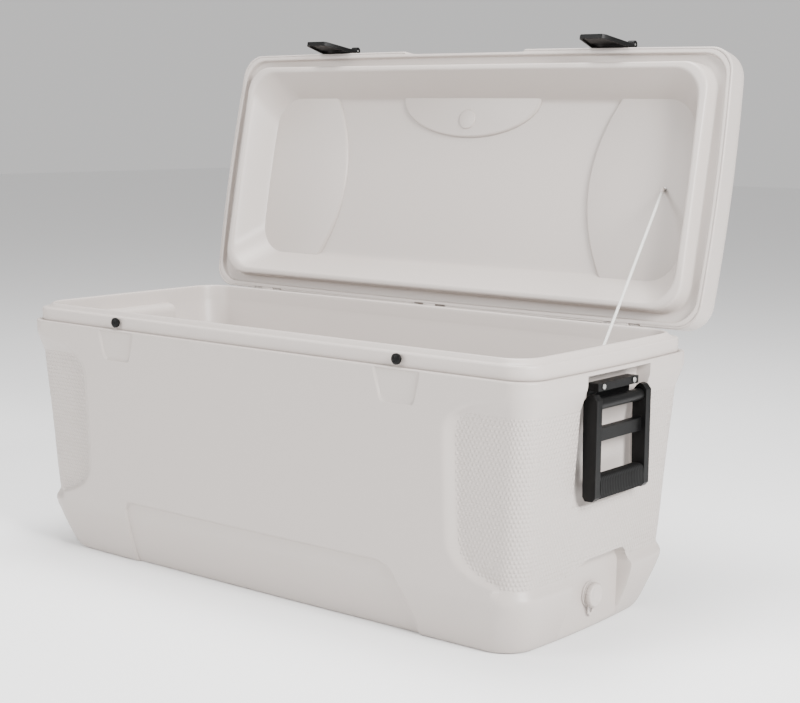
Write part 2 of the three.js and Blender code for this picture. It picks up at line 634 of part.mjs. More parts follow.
const tubScrewHoles = hingeNames.flatMap(([, x]) => [-1, 1].map((side) => rod(
  'y', [x + side * LEAF_SCREW_X, 232 - SCREW_DEPTH - 1, TUB_SCREW_Z], 30, SCREW.hole, 8)));
const studHoles = sideNames.map(([, side]) => rod('y', [side * LATCH_X, -240, STUD_Z], 24, 3.4, 8));
const handleHoles = sideNames.flatMap(([, side]) => [-1, 1].map((across) => rod(
  'x', [side > 0 ? 516 : -540, across * 43, 390.5], 24, SCREW.hole, 8)));
const cordHole = rod('x', [CORD_TUB.x + 3, 0, CORD_TUB.z], 11, SCREW.hole, 8);
const tubHoles = [...tubScrewHoles, ...studHoles, ...handleHoles, cordHole];

const tubBlock = tub(0);
const tubSkins = cut(tubBlock, tub(SKIN));
group.add(piece('body_shell', cut(tubSkins, linerSpace(-GAP / 2), ...tubHoles), 'shell'));
const liner = cut(tubSkins.intersect(linerSpace(GAP / 2)), ...tubHoles);
const belowSeam = box([-600, -300, -10], [600, 300, FLOOR_SEAM + GAP / 2]);
const aboveSeam = box([-600, -300, FLOOR_SEAM - GAP / 2], [600, 300, 500]);
group.add(piece('body_liner', cut(liner, belowSeam), 'liner'));
group.add(piece('body_liner_floor', cut(liner, aboveSeam), 'liner'));
group.add(piece('body_foam', cut(tub(SKIN + GAP), ...tubHoles), 'foam'));

const lidScrewHoles = hingeNames.flatMap(([, x]) => [-1, 1].map((side) => rod(
  'y', [x + side * LEAF_SCREW_X, 232 - SCREW_DEPTH - 1, LID_SCREW_Z], 30, SCREW.hole, 8)));
const bracketHoles = sideNames.flatMap(([, side]) => [-1, 1].map((across) => rod(
  'y', [side * LATCH_X + across * BRACKET.screwX, -250, BRACKET.screwZ], 30, SCREW.hole, 8)));
const lidCordHole = rod('z', [CORD_LID.x, 0, PAD_LEVEL - 5], 18, SCREW.hole, 8);
const lidHoles = [...lidScrewHoles, ...bracketHoles, lidCordHole];

const lidSkins = cut(lid(0), lid(SKIN));
closed.add(piece('lid_shell', cut(lidSkins, lidLinerSpace(-GAP / 2), ...lidHoles), 'shell'));
closed.add(piece('lid_liner', cut(lidSkins.intersect(lidLinerSpace(GAP / 2)), ...lidHoles), 'liner'));
closed.add(piece('lid_foam', cut(lid(SKIN + GAP), ...lidHoles), 'foam'));

for (const [name, x] of hingeNames) {
  group.add(piece(`hinge_tub_leaf_${name}`, hingeLeaf(x, false), 'hinge'));
  closed.add(piece(`hinge_lid_leaf_${name}`, hingeLeaf(x, true), 'hinge'));
  group.add(piece(`hinge_pin_${name}`, rod(
    'x', [x - LEAF.half, HINGE.y, HINGE.z], 2 * LEAF.half, KNUCKLE.pin, 12), 'steel'));
  for (const [end, side] of [['a', -1], ['b', 1]]) {
    const screwX = x + side * LEAF_SCREW_X;
    group.add(piece(`hinge_tub_screw_${name}_${end}`,
      screwAt(screwX, LEAF.front + GAP, TUB_SCREW_Z, -1, SCREW_DEPTH), 'steel'));
    closed.add(piece(`hinge_lid_screw_${name}_${end}`,
      screwAt(screwX, LEAF.front + GAP, LID_SCREW_Z, -1, SCREW_DEPTH), 'steel'));
  }
}

for (const [name, side] of sideNames) {
  const x = side * LATCH_X;
  group.add(piece(`catch_stud_${name}`, catchStud(x), 'black'));
  closed.add(piece(`latch_bracket_${name}`, latchBracket(x), 'black'));
  closed.add(piece(`latch_lever_${name}`, latchLever(x), 'black'));
  closed.add(piece(`latch_pin_${name}`, rod(
    'x', [x - LEVER.topHalf, LATCH_PIVOT.y, LATCH_PIVOT.z],
    2 * LEVER.topHalf, LATCH_PIN.radius, 10), 'steel'));
  for (const [end, across] of [['a', -1], ['b', 1]]) {
    closed.add(piece(`latch_screw_${name}_${end}`, screwAt(
      x + across * BRACKET.screwX, LATCH_PIVOT.y + 3 - GAP, BRACKET.screwZ, 1, SCREW_DEPTH), 'steel'));
  }
}

for (const [name, side] of sideNames) {
  const holder = new THREE.Group();
  if (side < 0) holder.rotation.z = Math.PI;
  holder.add(piece(`handle_bracket_${name}`, handleBracket(), 'black'));
  holder.add(piece(`handle_bail_${name}`, handleBail(), 'black'));
  holder.add(piece(`handle_grip_${name}`, handleGrip(), 'grip'));
  holder.add(piece(`handle_rod_${name}`, rod(
    'y', [HANDLE_PIVOT.x, -72, HANDLE_PIVOT.z], 144, HANDLE_ROD.radius, 12), 'steel'));
  for (const [end, across] of [['a', -1], ['b', 1]]) {
    holder.add(piece(`handle_screw_${name}_${end}`,
      endScrewAt(1, HANDLE_BRACKET.front + GAP, across * 43, 390.5, 28), 'steel'));
  }
  group.add(holder);
}

const linerFace = HALF_LENGTH - between(CAVITY, DRAIN_Z, 1); // inner end wall at the drain's height
group.add(piece('drain_spout', cut(
  rod('x', [SPOUT.inner, 0, DRAIN_Z], SPOUT.tip - SPOUT.inner, SPOUT.tube, 20)
    .add(rod('x', [NICHE_X + GAP, 0, DRAIN_Z], 3, SPOUT.flange, 20)),
  rod('x', [SPOUT.inner - 5, 0, DRAIN_Z], 60, SPOUT.bore, 16)), 'drain'));
group.add(piece(
  'drain_gasket', ringAlongX(linerFace - 4.6, linerFace - 1.8, 15.5, SPOUT.tube + GAP), 'seal'));
group.add(piece('drain_nut', ringAlongX(SPOUT.inner, linerFace - 4.9, 16, SPOUT.tube + GAP), 'drain'));
group.add(piece('drain_tether', drainTether(), 'drain'));
group.add(piece('drain_cap', drainCap(), 'drain'));

group.add(piece('stay_cord', stayCord(), 'cord'));
closed.add(piece('stay_screw_lid', rod('z', [CORD_LID.x, 0, CORD_LID.z + 4.2], 1.5, 5, 12)
  .add(rod('z', [CORD_LID.x, 0, CORD_LID.z + 5], SCREW_DEPTH, SCREW.shank, 8)), 'steel'));
group.add(piece('stay_screw_tub', rod('x', [CORD_TUB.x + 2.8, 0, CORD_TUB.z], 1.2, 4.5, 12)
  .add(rod('x', [CORD_TUB.x + 3, 0, CORD_TUB.z], 9, SCREW.shank, 8)), 'steel'));

export default group;
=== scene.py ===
"""Long insulated chest cooler with its lid open: the looks of every piece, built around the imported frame.

Forms are drawn in millimetres and scaled to the frame's metres. X runs along the tub towards the drain,
Y towards the hinges and Z up. The lid is drawn closed and then turned open about its hinge.
"""

from __future__ import annotations

import logging
import math
from dataclasses import dataclass
from enum import Enum
from typing import Iterable, Sequence, Union

import bmesh
import bpy
from bmesh.types import BMEdge, BMesh, BMVert
from bpy.types import Material, NodeSocket, Object
from mathutils import Matrix, Vector

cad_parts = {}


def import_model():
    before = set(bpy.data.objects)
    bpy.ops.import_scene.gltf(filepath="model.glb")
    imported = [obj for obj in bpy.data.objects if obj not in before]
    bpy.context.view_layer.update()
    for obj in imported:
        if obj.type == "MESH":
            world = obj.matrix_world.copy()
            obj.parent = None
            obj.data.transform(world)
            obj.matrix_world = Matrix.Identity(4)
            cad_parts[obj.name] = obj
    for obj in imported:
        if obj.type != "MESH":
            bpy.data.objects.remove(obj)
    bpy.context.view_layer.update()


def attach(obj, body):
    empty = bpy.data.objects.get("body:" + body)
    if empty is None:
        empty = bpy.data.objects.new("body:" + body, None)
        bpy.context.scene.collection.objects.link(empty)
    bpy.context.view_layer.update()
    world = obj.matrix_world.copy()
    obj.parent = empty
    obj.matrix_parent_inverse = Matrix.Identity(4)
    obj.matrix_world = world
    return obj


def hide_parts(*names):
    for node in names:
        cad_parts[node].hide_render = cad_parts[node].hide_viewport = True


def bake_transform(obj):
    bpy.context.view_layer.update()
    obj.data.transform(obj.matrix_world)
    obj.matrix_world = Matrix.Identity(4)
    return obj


log = logging.getLogger("cooler")

MM = 0.001

# Driving dimensions of the moulded forms, in millimetres.
HALF_LENGTH = 545.0
HALF_DEPTH = 231.5
END_BOW = 5.0
SIDE_BOW = 3.0
CORNER_RADIUS = 42.0
BAND_TOP = 416.0
RECESS_DEPTH = 10.5
RIM = 438.4  # underside of the closed lid's skirt
HINGE_AXIS = (239.2, 436.3)  # y, z
HINGE_X = (-402.0, 0.0, 402.0)
FLAT_Y = 229.0  # y of the hinges' seats, and of the finger notch in front
LID_OPEN = math.radians(101.44)
LATCH_X = 307.6
STUD_Z = 428.6
DRAIN_Z = 58.0
SIDES = (("left", -1), ("right", 1))
PAD_LEVEL = 479.0  # lower face of the pads in the closed lid's hollow

Pair = tuple[float, float]
Triple = tuple[float, float, float]
Row = tuple[float, float, float, float]  # z, inset in X, inset in Y, share of the sides' bow


def smooth(low: float, high: float, value: float) -> float:
    """Returns 0 below low, 1 above high and a soft step between; high may lie below low."""
    t = min(max((value - low) / (high - low), 0.0), 1.0)
    return t * t * (3.0 - 2.0 * t)


def press(value: float, plane: float, share: float) -> float:
    """Draws a coordinate in to a plane by a share; one that lies inside the plane stays."""
    return value + (min(value, plane) - value) * share


def dim(colour: Sequence[float], share: float) -> Triple:
    """A darker or lighter shade of a colour."""
    return tuple(c * share for c in colour)


def hinge_seat(x: float) -> float:
    """How far a place along the back lies on a hinge's seat, from 0 to 1."""
    return max(smooth(37.2, 35.4, abs(x - seat)) for seat in HINGE_X)


@dataclass(frozen=True)
class Profile:
    """A smooth curve through a few (position, value) stops."""

    stops: tuple[Pair, ...]

    def __call__(self, position: float) -> float:
        """Reads the curve.

        Args:
            position: where to read, clamped to the first and last stop.

        Returns:
            The value, eased between stops without overshoot.
        """
        stops = self.stops
        if position <= stops[0][0]:
            return stops[0][1]
        for index in range(len(stops) - 1):
            (x0, y0), (x1, y1) = stops[index], stops[index + 1]
            if position <= x1:
                t = (position - x0) / (x1 - x0)
                m0, m1 = self._slope(index) * (x1 - x0), self._slope(index + 1) * (x1 - x0)
                return (
                    (2 * t**3 - 3 * t**2 + 1) * y0
                    + (t**3 - 2 * t**2 + t) * m0
                    + (3 * t**2 - 2 * t**3) * y1
                    + (t**3 - t**2) * m1
                )
        return stops[-1][1]

    def _slope(self, index: int) -> float:
        """Slope at a stop: the harmonic mean of its neighbours' slopes, or 0 at a turn."""
        stops = self.stops

        def rise(i: int) -> float:
            """Slope of the straight stretch after stop i."""
            return (stops[i + 1][1] - stops[i][1]) / (stops[i + 1][0] - stops[i][0])

        if index == 0:
            return rise(0)
        if index == len(stops) - 1:
            return rise(index - 1)
        before, after = rise(index - 1), rise(index)
        return 0.0 if before * after <= 0 else 2 * before * after / (before + after)


# ---------------------------------------------------------------- shader maths


class Signal:
    """One socket of a shader; arithmetic on it adds Math nodes."""

    def __init__(self, shader: Shader, socket: NodeSocket) -> None:
        """Wraps a socket of a shader."""
        self.shader = shader
        self.socket = socket

    def _math(self, operation: str, *values: Value) -> Signal:
        """Adds one Math node."""
        return self.shader.node("ShaderNodeMath", {"operation": operation}, dict(enumerate(values)))

    def __add__(self, other: Value) -> Signal:
        """Sum."""
        return self._math("ADD", self, other)

    __radd__ = __add__

    def __sub__(self, other: Value) -> Signal:
        """Difference."""
        return self._math("SUBTRACT", self, other)

    def __rsub__(self, other: Value) -> Signal:
        """Difference from a number."""
        return self._math("SUBTRACT", other, self)

    def __mul__(self, other: Value) -> Signal:
        """Product."""
        return self._math("MULTIPLY", self, other)

    __rmul__ = __mul__

    def peak(self, other: Value) -> Signal:
        """The larger of two values."""
        return self._math("MAXIMUM", self, other)

    def cosine(self) -> Signal:
        """Cosine of the value in radians."""
        return self._math("COSINE", self)

    def ramp(self, low: float, high: float) -> Signal:
        """Soft step from 0 at low to 1 at high."""
        return self.shader.node(
            "ShaderNodeMapRange",
            {"interpolation_type": "SMOOTHSTEP"},
            {"Value": self, "From Min": low, "From Max": high},
        )


Value = Union[Signal, float, Sequence[float]]


class Shader:
    """A Principled material with helpers that add its nodes."""

    def __init__(self, name: str) -> None:
        """Starts an empty material."""
        self.material = bpy.data.materials.new(name)
        self.material.use_nodes = True
        self.tree = self.material.node_tree
        self.bsdf = self.tree.nodes["Principled BSDF"]

    def node(
        self,
        kind: str,
        settings: dict[str, object] | None = None,
        inputs: dict[object, Value] | None = None,
        output: object = 0,
    ) -> Signal:
        """Adds a node.

        Args:
            kind: the node's type name.
            settings: properties, set first.
            inputs: values or links of its sockets, by name or number.
            output: the output socket to hand back.

        Returns:
            That output, as a Signal.
        """
        made = self.tree.nodes.new(kind)
        for key, value in (settings or {}).items():
            setattr(made, key, value)
        for key, value in (inputs or {}).items():
            self.plug(made.inputs[key], value)
        return Signal(self, made.outputs[output])

    def plug(self, socket: NodeSocket, value: Value) -> None:
        """Links a signal to a socket, or sets its number or colour."""
        if isinstance(value, Signal):
            self.tree.links.new(value.socket, socket)
        else:
            socket.default_value = value

    def surface(self, **values: Value) -> None:
        """Sets sockets of the Principled shader, named with underscores for spaces."""
        for key, value in values.items():
            self.plug(self.bsdf.inputs[key.replace("_", " ")], value)

    def place(self) -> Signal:
        """Object coordinates in metres."""
        return self.node("ShaderNodeTexCoord", output="Object")

    def attribute(self, name: str) -> Signal:
        """A number stored on the mesh's points."""
        return self.node("ShaderNodeAttribute", {"attribute_name": name}, output="Fac")

    def run(self) -> tuple[Signal, Signal]:
        """The piece's own coordinates: distance around it and distance along or up it."""
        uv = self.node("ShaderNodeUVMap", {"uv_map": "run"})
        first = self.node("ShaderNodeSeparateXYZ", None, {0: uv})
        return first, Signal(self, first.socket.node.outputs[1])

    def noise(self, scale: float, detail: float = 3.0) -> Signal:
        """Cloudy noise from 0 to 1; scale is in features per metre."""
        return self.node(
            "ShaderNodeTexNoise", None, {"Vector": self.place(), "Scale": scale, "Detail": detail}
        )

    def mix(self, factor: Value, low: Sequence[float], high: Sequence[float]) -> Signal:
        """Colour between low and high."""
        return self.node(
            "ShaderNodeMix",
            {"data_type": "RGBA"},
            {0: factor, 6: (*low, 1.0), 7: (*high, 1.0)},
            output=2,
        )

    def bump(self, height: Value, distance: float, strength: float = 1.0) -> Signal:
        """Normal from a height of 0 to 1; distance is its depth in metres."""
        return self.node(
            "ShaderNodeBump", None, {"Height": height, "Distance": distance, "Strength": strength}
        )


@dataclass(frozen=True)
class MouldedPlastic:
    """Matt moulded plastic with a fine spark-eroded grain."""

    name: str
    colour: Triple
    roughness: float = 0.42
    tone: float = 0.035
    grain: float = 0.00005
    hex_field: bool = False
    pitch: float = 0.0068
    bead_height: float = 0.0013

    def build(self) -> Material:
        """Builds the material."""
        shader = Shader(self.name)
        cloud = shader.noise(7.0, 4.0)
        fleck = shader.noise(900.0, 2.0)
        darker = dim(self.colour, 1.0 - self.tone)
        tint = shader.mix(cloud * 0.7 + fleck * 0.3, darker, self.colour)
        rough = self.roughness - 0.05 + cloud * 0.06 + fleck * 0.05
        if self.hex_field:
            across, up = shader.run()
            turn = 2 * math.pi / self.pitch
            straight = (up * turn).cosine()
            rising = ((up * 0.5 + across * 0.866) * turn).cosine()
            falling = ((up * 0.5 - across * 0.866) * turn).cosine()
            mask = shader.attribute("grain_field").ramp(0.6, 1.0)
            bead = ((straight + rising + falling) * 0.333).ramp(-0.4, 0.9) * mask
            rough = rough + mask * 0.06
            # The low parts between the beads are painted darker: this is painted shade in the grain's
            # hollows, laid over the bump's relief.
            tint = shader.mix(bead * 0.8 + 0.2, dim(self.colour, 0.88), self.colour)
            normal = shader.bump(bead * 0.95 + fleck * 0.05, self.bead_height)
        else:
            normal = shader.bump(fleck, self.grain)
        shader.surface(Base_Color=tint, Roughness=rough, Normal=normal)
        return shader.material


@dataclass(frozen=True)
class BlackPlastic:
    """Black glass-filled plastic with a dull sheen and light scuffs."""

    name: str
    colour: Triple = (0.0025, 0.0025, 0.0025)
    roughness: float = 0.34

    def build(self) -> Material:
        """Builds the material."""
        shader = Shader(self.name)
        cloud = shader.noise(28.0, 5.0)
        grain = shader.noise(1500.0, 2.0)
        tint = shader.mix(cloud.ramp(0.5, 0.75) * 0.5 + grain * 0.3, self.colour, dim(self.colour, 2.1))
        shader.surface(
            Base_Color=tint,
            Specular_IOR_Level=0.14,
            Roughness=self.roughness + cloud * 0.12 + grain * 0.06,
            Normal=shader.bump(grain, 0.00006),
        )
        return shader.material


@dataclass(frozen=True)
class Steel:
    """Stainless steel, finely brushed."""

    name: str

    def build(self) -> Material:
        """Builds the material."""
        shader = Shader(self.name)
        scratch = shader.noise(1200.0, 3.0)
        shader.surface(
            Base_Color=shader.mix(scratch, (0.46, 0.46, 0.45), (0.6, 0.6, 0.58)),
            Metallic=1.0,
            Roughness=0.26 + scratch * 0.16,
            Normal=shader.bump(scratch, 0.00003),
        )
        return shader.material


@dataclass(frozen=True)
class Braid:
    """White braided cord: two crossing sets of strands along the cord's own coordinates."""

    name: str

    def build(self) -> Material:
        """Builds the material."""
        shader = Shader(self.name)
        around, along = shader.run()
        twist = around * (8 * math.pi)
        run = along * (2 * math.pi / 0.0042)
        strands = (twist + run).cosine().peak((twist - run).cosine())
        height = strands.ramp(-0.2, 1.0)
        shader.surface(
            # The grooves between the strands are painted darker: this is painted shade, over the bump's
            # relief.
            Base_Color=shader.mix(height, (0.42, 0.41, 0.38), (0.76, 0.75, 0.72)),
            Roughness=0.86 - height * 0.1,
            Normal=shader.bump(height, 0.0005),
        )
        return shader.material


@dataclass(frozen=True)
class Soft:
    """Matt rubber or foam."""

    name: str
    colour: Triple
    cell: float = 600.0
    depth: float = 0.0001

    def build(self) -> Material:
        """Builds the material."""
        shader = Shader(self.name)
        pores = shader.noise(self.cell, 4.0)
        shader.surface(
            Base_Color=shader.mix(pores, dim(self.colour, 0.85), self.colour),
            Roughness=0.78 + pores * 0.14,
            Normal=shader.bump(pores, self.depth),
        )
        return shader.material


class Finish(Enum):
    """The finishes of the cooler, each with a short name as its value."""

    SHELL = "shell"
    LINER = "liner"
    FOAM = "foam"
    HINGE = "hinge"
    STEEL = "steel"
    BLACK = "black"
    GRIP = "grip"
    DRAIN = "drain"
    SEAL = "seal"
    CORD = "cord"


class Palette:
    """Builds each material once and paints pieces with it."""

    def __init__(self) -> None:
        """Builds every finish."""
        white = (0.475, 0.428, 0.398)
        makers = {
            Finish.SHELL: MouldedPlastic("moulded_shell", white, hex_field=True),
            Finish.LINER: MouldedPlastic("moulded_liner", dim(white, 0.985), roughness=0.4),
            Finish.FOAM: Soft("urethane_foam", (0.78, 0.7, 0.42), 350.0, 0.0004),
            Finish.HINGE: MouldedPlastic("hinge_plastic", dim(white, 0.95)),
            Finish.STEEL: Steel("stainless_steel"),
            Finish.BLACK: BlackPlastic("black_plastic"),
            Finish.GRIP: BlackPlastic("grip_plastic", (0.004, 0.004, 0.004), 0.5),
            Finish.DRAIN: MouldedPlastic("drain_plastic", dim(white, 0.97)),
            Finish.SEAL: Soft("seal_rubber", (0.025, 0.025, 0.025)),
            Finish.CORD: Braid("braided_cord"),
        }
        self.materials = {finish: maker.build() for finish, maker in makers.items()}

    def paint(self, piece: Object, finish: Finish) -> None:
        """Gives a piece one finish."""
        piece.data.materials.clear()
        piece.data.materials.append(self.materials[finish])


# ---------------------------------------------------------------- meshes


def link(name: str, bm: BMesh) -> Object:
    """Makes an object of a bmesh, frees the bmesh and puts the object in the scene."""
    mesh = bpy.data.meshes.new(name)
    bm.to_mesh(mesh)
    bm.free()
    made = bpy.data.objects.new(name, mesh)
    bpy.context.scene.collection.objects.link(made)
    return made


def extend(bm: BMesh, edges: list[BMEdge], step: Vector) -> tuple[list[BMEdge], list[BMVert]]:
    """Extrudes a ring of edges by a step and hands back the new ring."""
    made = bmesh.ops.extrude_edge_only(bm, edges=edges)["geom"]
    verts = [g for g in made if isinstance(g, BMVert)]
    bmesh.ops.translate(bm, vec=step, verts=verts)
    return [g for g in made if isinstance(g, BMEdge)], verts


def hinge_turn() -> Matrix:
    """The turn that opens the closed lid, about the hinge."""
    pivot = Vector((0.0, HINGE_AXIS[0], HINGE_AXIS[1])) * MM
    return Matrix.Translation(pivot) @ Matrix.Rotation(-LID_OPEN, 4, "X") @ Matrix.Translation(-pivot)


class Workshop:
    """Turns finished bmeshes and frame nodes into painted pieces that ride on their bodies."""

    def __init__(self, palette: Palette) -> None:
        """Keeps the palette."""
        self.palette = palette
        self.lid_turn = hinge_turn()

    def finish(
        self,
        name: str,
        bm: BMesh,
        finish: Finish,
        body: str,
        stands_for: Iterable[str] = (),
        on_lid: bool = False,
        sharp: float = 40.0,
    ) -> Object:
        """Makes a piece from a bmesh drawn in millimetres.

        Args:
            name: the piece's name.
            bm: its mesh, freed here.
            finish: its finish.
            body: the body it rides on, or nothing for a piece between two bodies.
            stands_for: frame nodes it replaces.
            on_lid: whether it was drawn with the lid closed.
            sharp: the angle in degrees above which an edge stays crisp.

        Returns:
            The new object.
        """
        bmesh.ops.scale(bm, vec=(MM, MM, MM), verts=bm.verts)
        if on_lid:
            bmesh.ops.transform(bm, matrix=self.lid_turn, verts=bm.verts)
        for face in bm.faces:
            face.smooth = True
        piece = link(name, bm)
        piece.data.set_sharp_from_angle(angle=math.radians(sharp))
        self.palette.paint(piece, finish)
        if body:
            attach(piece, body)
        if stands_for:
            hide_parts(*stands_for)
        log.info("%s: %d faces on %s", name, len(piece.data.polygons), body or "two bodies")
        return piece

    @staticmethod
    def thicken(piece: Object, wall: float) -> None:
        """Gives a sheet its wall, inwards, in millimetres."""
        solid = piece.modifiers.new("wall", "SOLIDIFY")
        solid.thickness = wall * MM
        solid.offset = -1.0

    def plate(
        self,
        name: str,
        outline: Sequence[Pair],
        span: Pair,
        finish: Finish,
        body: str,
        bevel: float,
        on_lid: bool = False,
    ) -> Object:
        """Makes a flat plate from an outline seen from above, with a rounded lower edge.

        Args:
            name: the piece's name.
            outline: its corners in order, in millimetres.
            span: its lowest and highest height.
            finish: its finish.
            body: the body it rides on.
            bevel: radius of its lower edge.
            on_lid: whether it is drawn with the lid closed.

        Returns:
            The new piece.
        """
        bm = bmesh.new()
        face = bm.faces.new([bm.verts.new((x, y, span[0])) for x, y in outline])
        lifted = bmesh.ops.extrude_face_region(bm, geom=[face])["geom"]
        moved = [g for g in lifted if isinstance(g, BMVert)]
        bmesh.ops.translate(bm, vec=(0, 0, span[1] - span[0]), verts=moved)
        bmesh.ops.recalc_face_normals(bm, faces=bm.faces)
        rim = [e for e in bm.edges if all(v.co.z < span[0] + 0.01 for v in e.verts)]
        bmesh.ops.bevel(bm, geom=rim, offset=bevel, segments=4, profile=0.5, affect="EDGES", material=-1)
        return self.finish(name, bm, finish, body, (), on_lid, 50)

    def turned(
        self,
        name: str,
        outline: Sequence[Pair],
        centre: Vector,
        axis: Vector,
        finish: Finish,
        body: str,
        stands_for: Iterable[str] = (),
        on_lid: bool = False,
        steps: int = 32,
    ) -> Object:
        """Turns an outline about an axis, as on a lathe.

        Args:
            name: the piece's name.
            outline: (distance along the axis, radius) in millimetres; it starts and ends on the axis.
            centre: where the axis starts.
            axis: its unit direction.
            finish: its finish.
            body: the body it rides on.
            stands_for: frame nodes it replaces.
            on_lid: whether it is drawn with the lid closed.
            steps: facets of the full turn.

        Returns:
            The new piece.
        """
        bm = bmesh.new()
        side = axis.orthogonal().normalized()
        line = [bm.verts.new(centre + axis * along + side * radius) for along, radius in outline]
        edges = [bm.edges.new(pair) for pair in zip(line, line[1:])]
        bmesh.ops.spin(
            bm, geom=line + edges, cent=centre, axis=axis, angle=2 * math.pi, steps=steps, use_merge=True
        )
        bmesh.ops.remove_doubles(bm, verts=bm.verts, dist=0.001)
        bmesh.ops.recalc_face_normals(bm, faces=bm.faces)
        return self.finish(name, bm, finish, body, stands_for, on_lid, 35)

    def dress(
        self,
        node: str,
        finish: Finish,
        body: str,
        edge: float = 0.5,
        sharp: float = 35.0,
        shrink: float = 0.0,
    ) -> None:
        """Stands a clean copy of a frame node in for it, with rounded edges.

        Args:
            node: the frame node.
            finish: its finish.
            body: the body it rides on.
            edge: radius of its edges in millimetres, or 0 for none.
            sharp: the angle in degrees above which an edge is rounded.
            shrink: how far its surface is drawn in, in millimetres.
        """
        source = bpy.data.objects[node]
        bm = bmesh.new()
        bm.from_mesh(source.data)
        bmesh.ops.scale(bm, vec=(1 / MM, 1 / MM, 1 / MM), verts=bm.verts)
        bmesh.ops.remove_doubles(bm, verts=bm.verts, dist=0.01)
        bm.normal_update()
        for vert in bm.verts:
            vert.co -= vert.normal * shrink
        bmesh.ops.dissolve_limit(bm, angle_limit=math.radians(1.0), verts=bm.verts, edges=bm.edges)
        piece = self.finish(f"{node}_piece", bm, finish, body, [node])
        if edge > 0:
            bevel = piece.modifiers.new("edge", "BEVEL")
            bevel.width = edge * MM
            bevel.segments = 2
            bevel.limit_method = "ANGLE"
            bevel.angle_limit = math.radians(sharp)
            bevel.harden_normals = True


class Side(Enum):
    """Where a column of a wound sheet lies."""

    FRONT = "front"
    RIGHT = "right"
    BACK = "back"
    LEFT = "left"
    CORNER = "corner"


@dataclass(frozen=True)
class Station:
    """One column of a wound sheet: a place along a straight side, or an angle in a corner."""

    side: Side
    home: float  # coordinate along the side at the band, or the angle in radians
    sign_x: float = 0.0
    sign_y: float = 0.0

    @property
    def is_end(self) -> bool:
        """Whether it lies on one of the two short sides."""
        return self.side in (Side.LEFT, Side.RIGHT)


@dataclass(frozen=True)
class Level:
    """One row of a wound sheet: its height and how far it lies inside the band, in millimetres."""

    z: float
    inset_x: float
    inset_y: float
    bow: float = 1.0


class Close(Enum):
    """Which end of a wound sheet is closed by a face."""

    FIRST = "first"
    LAST = "last"


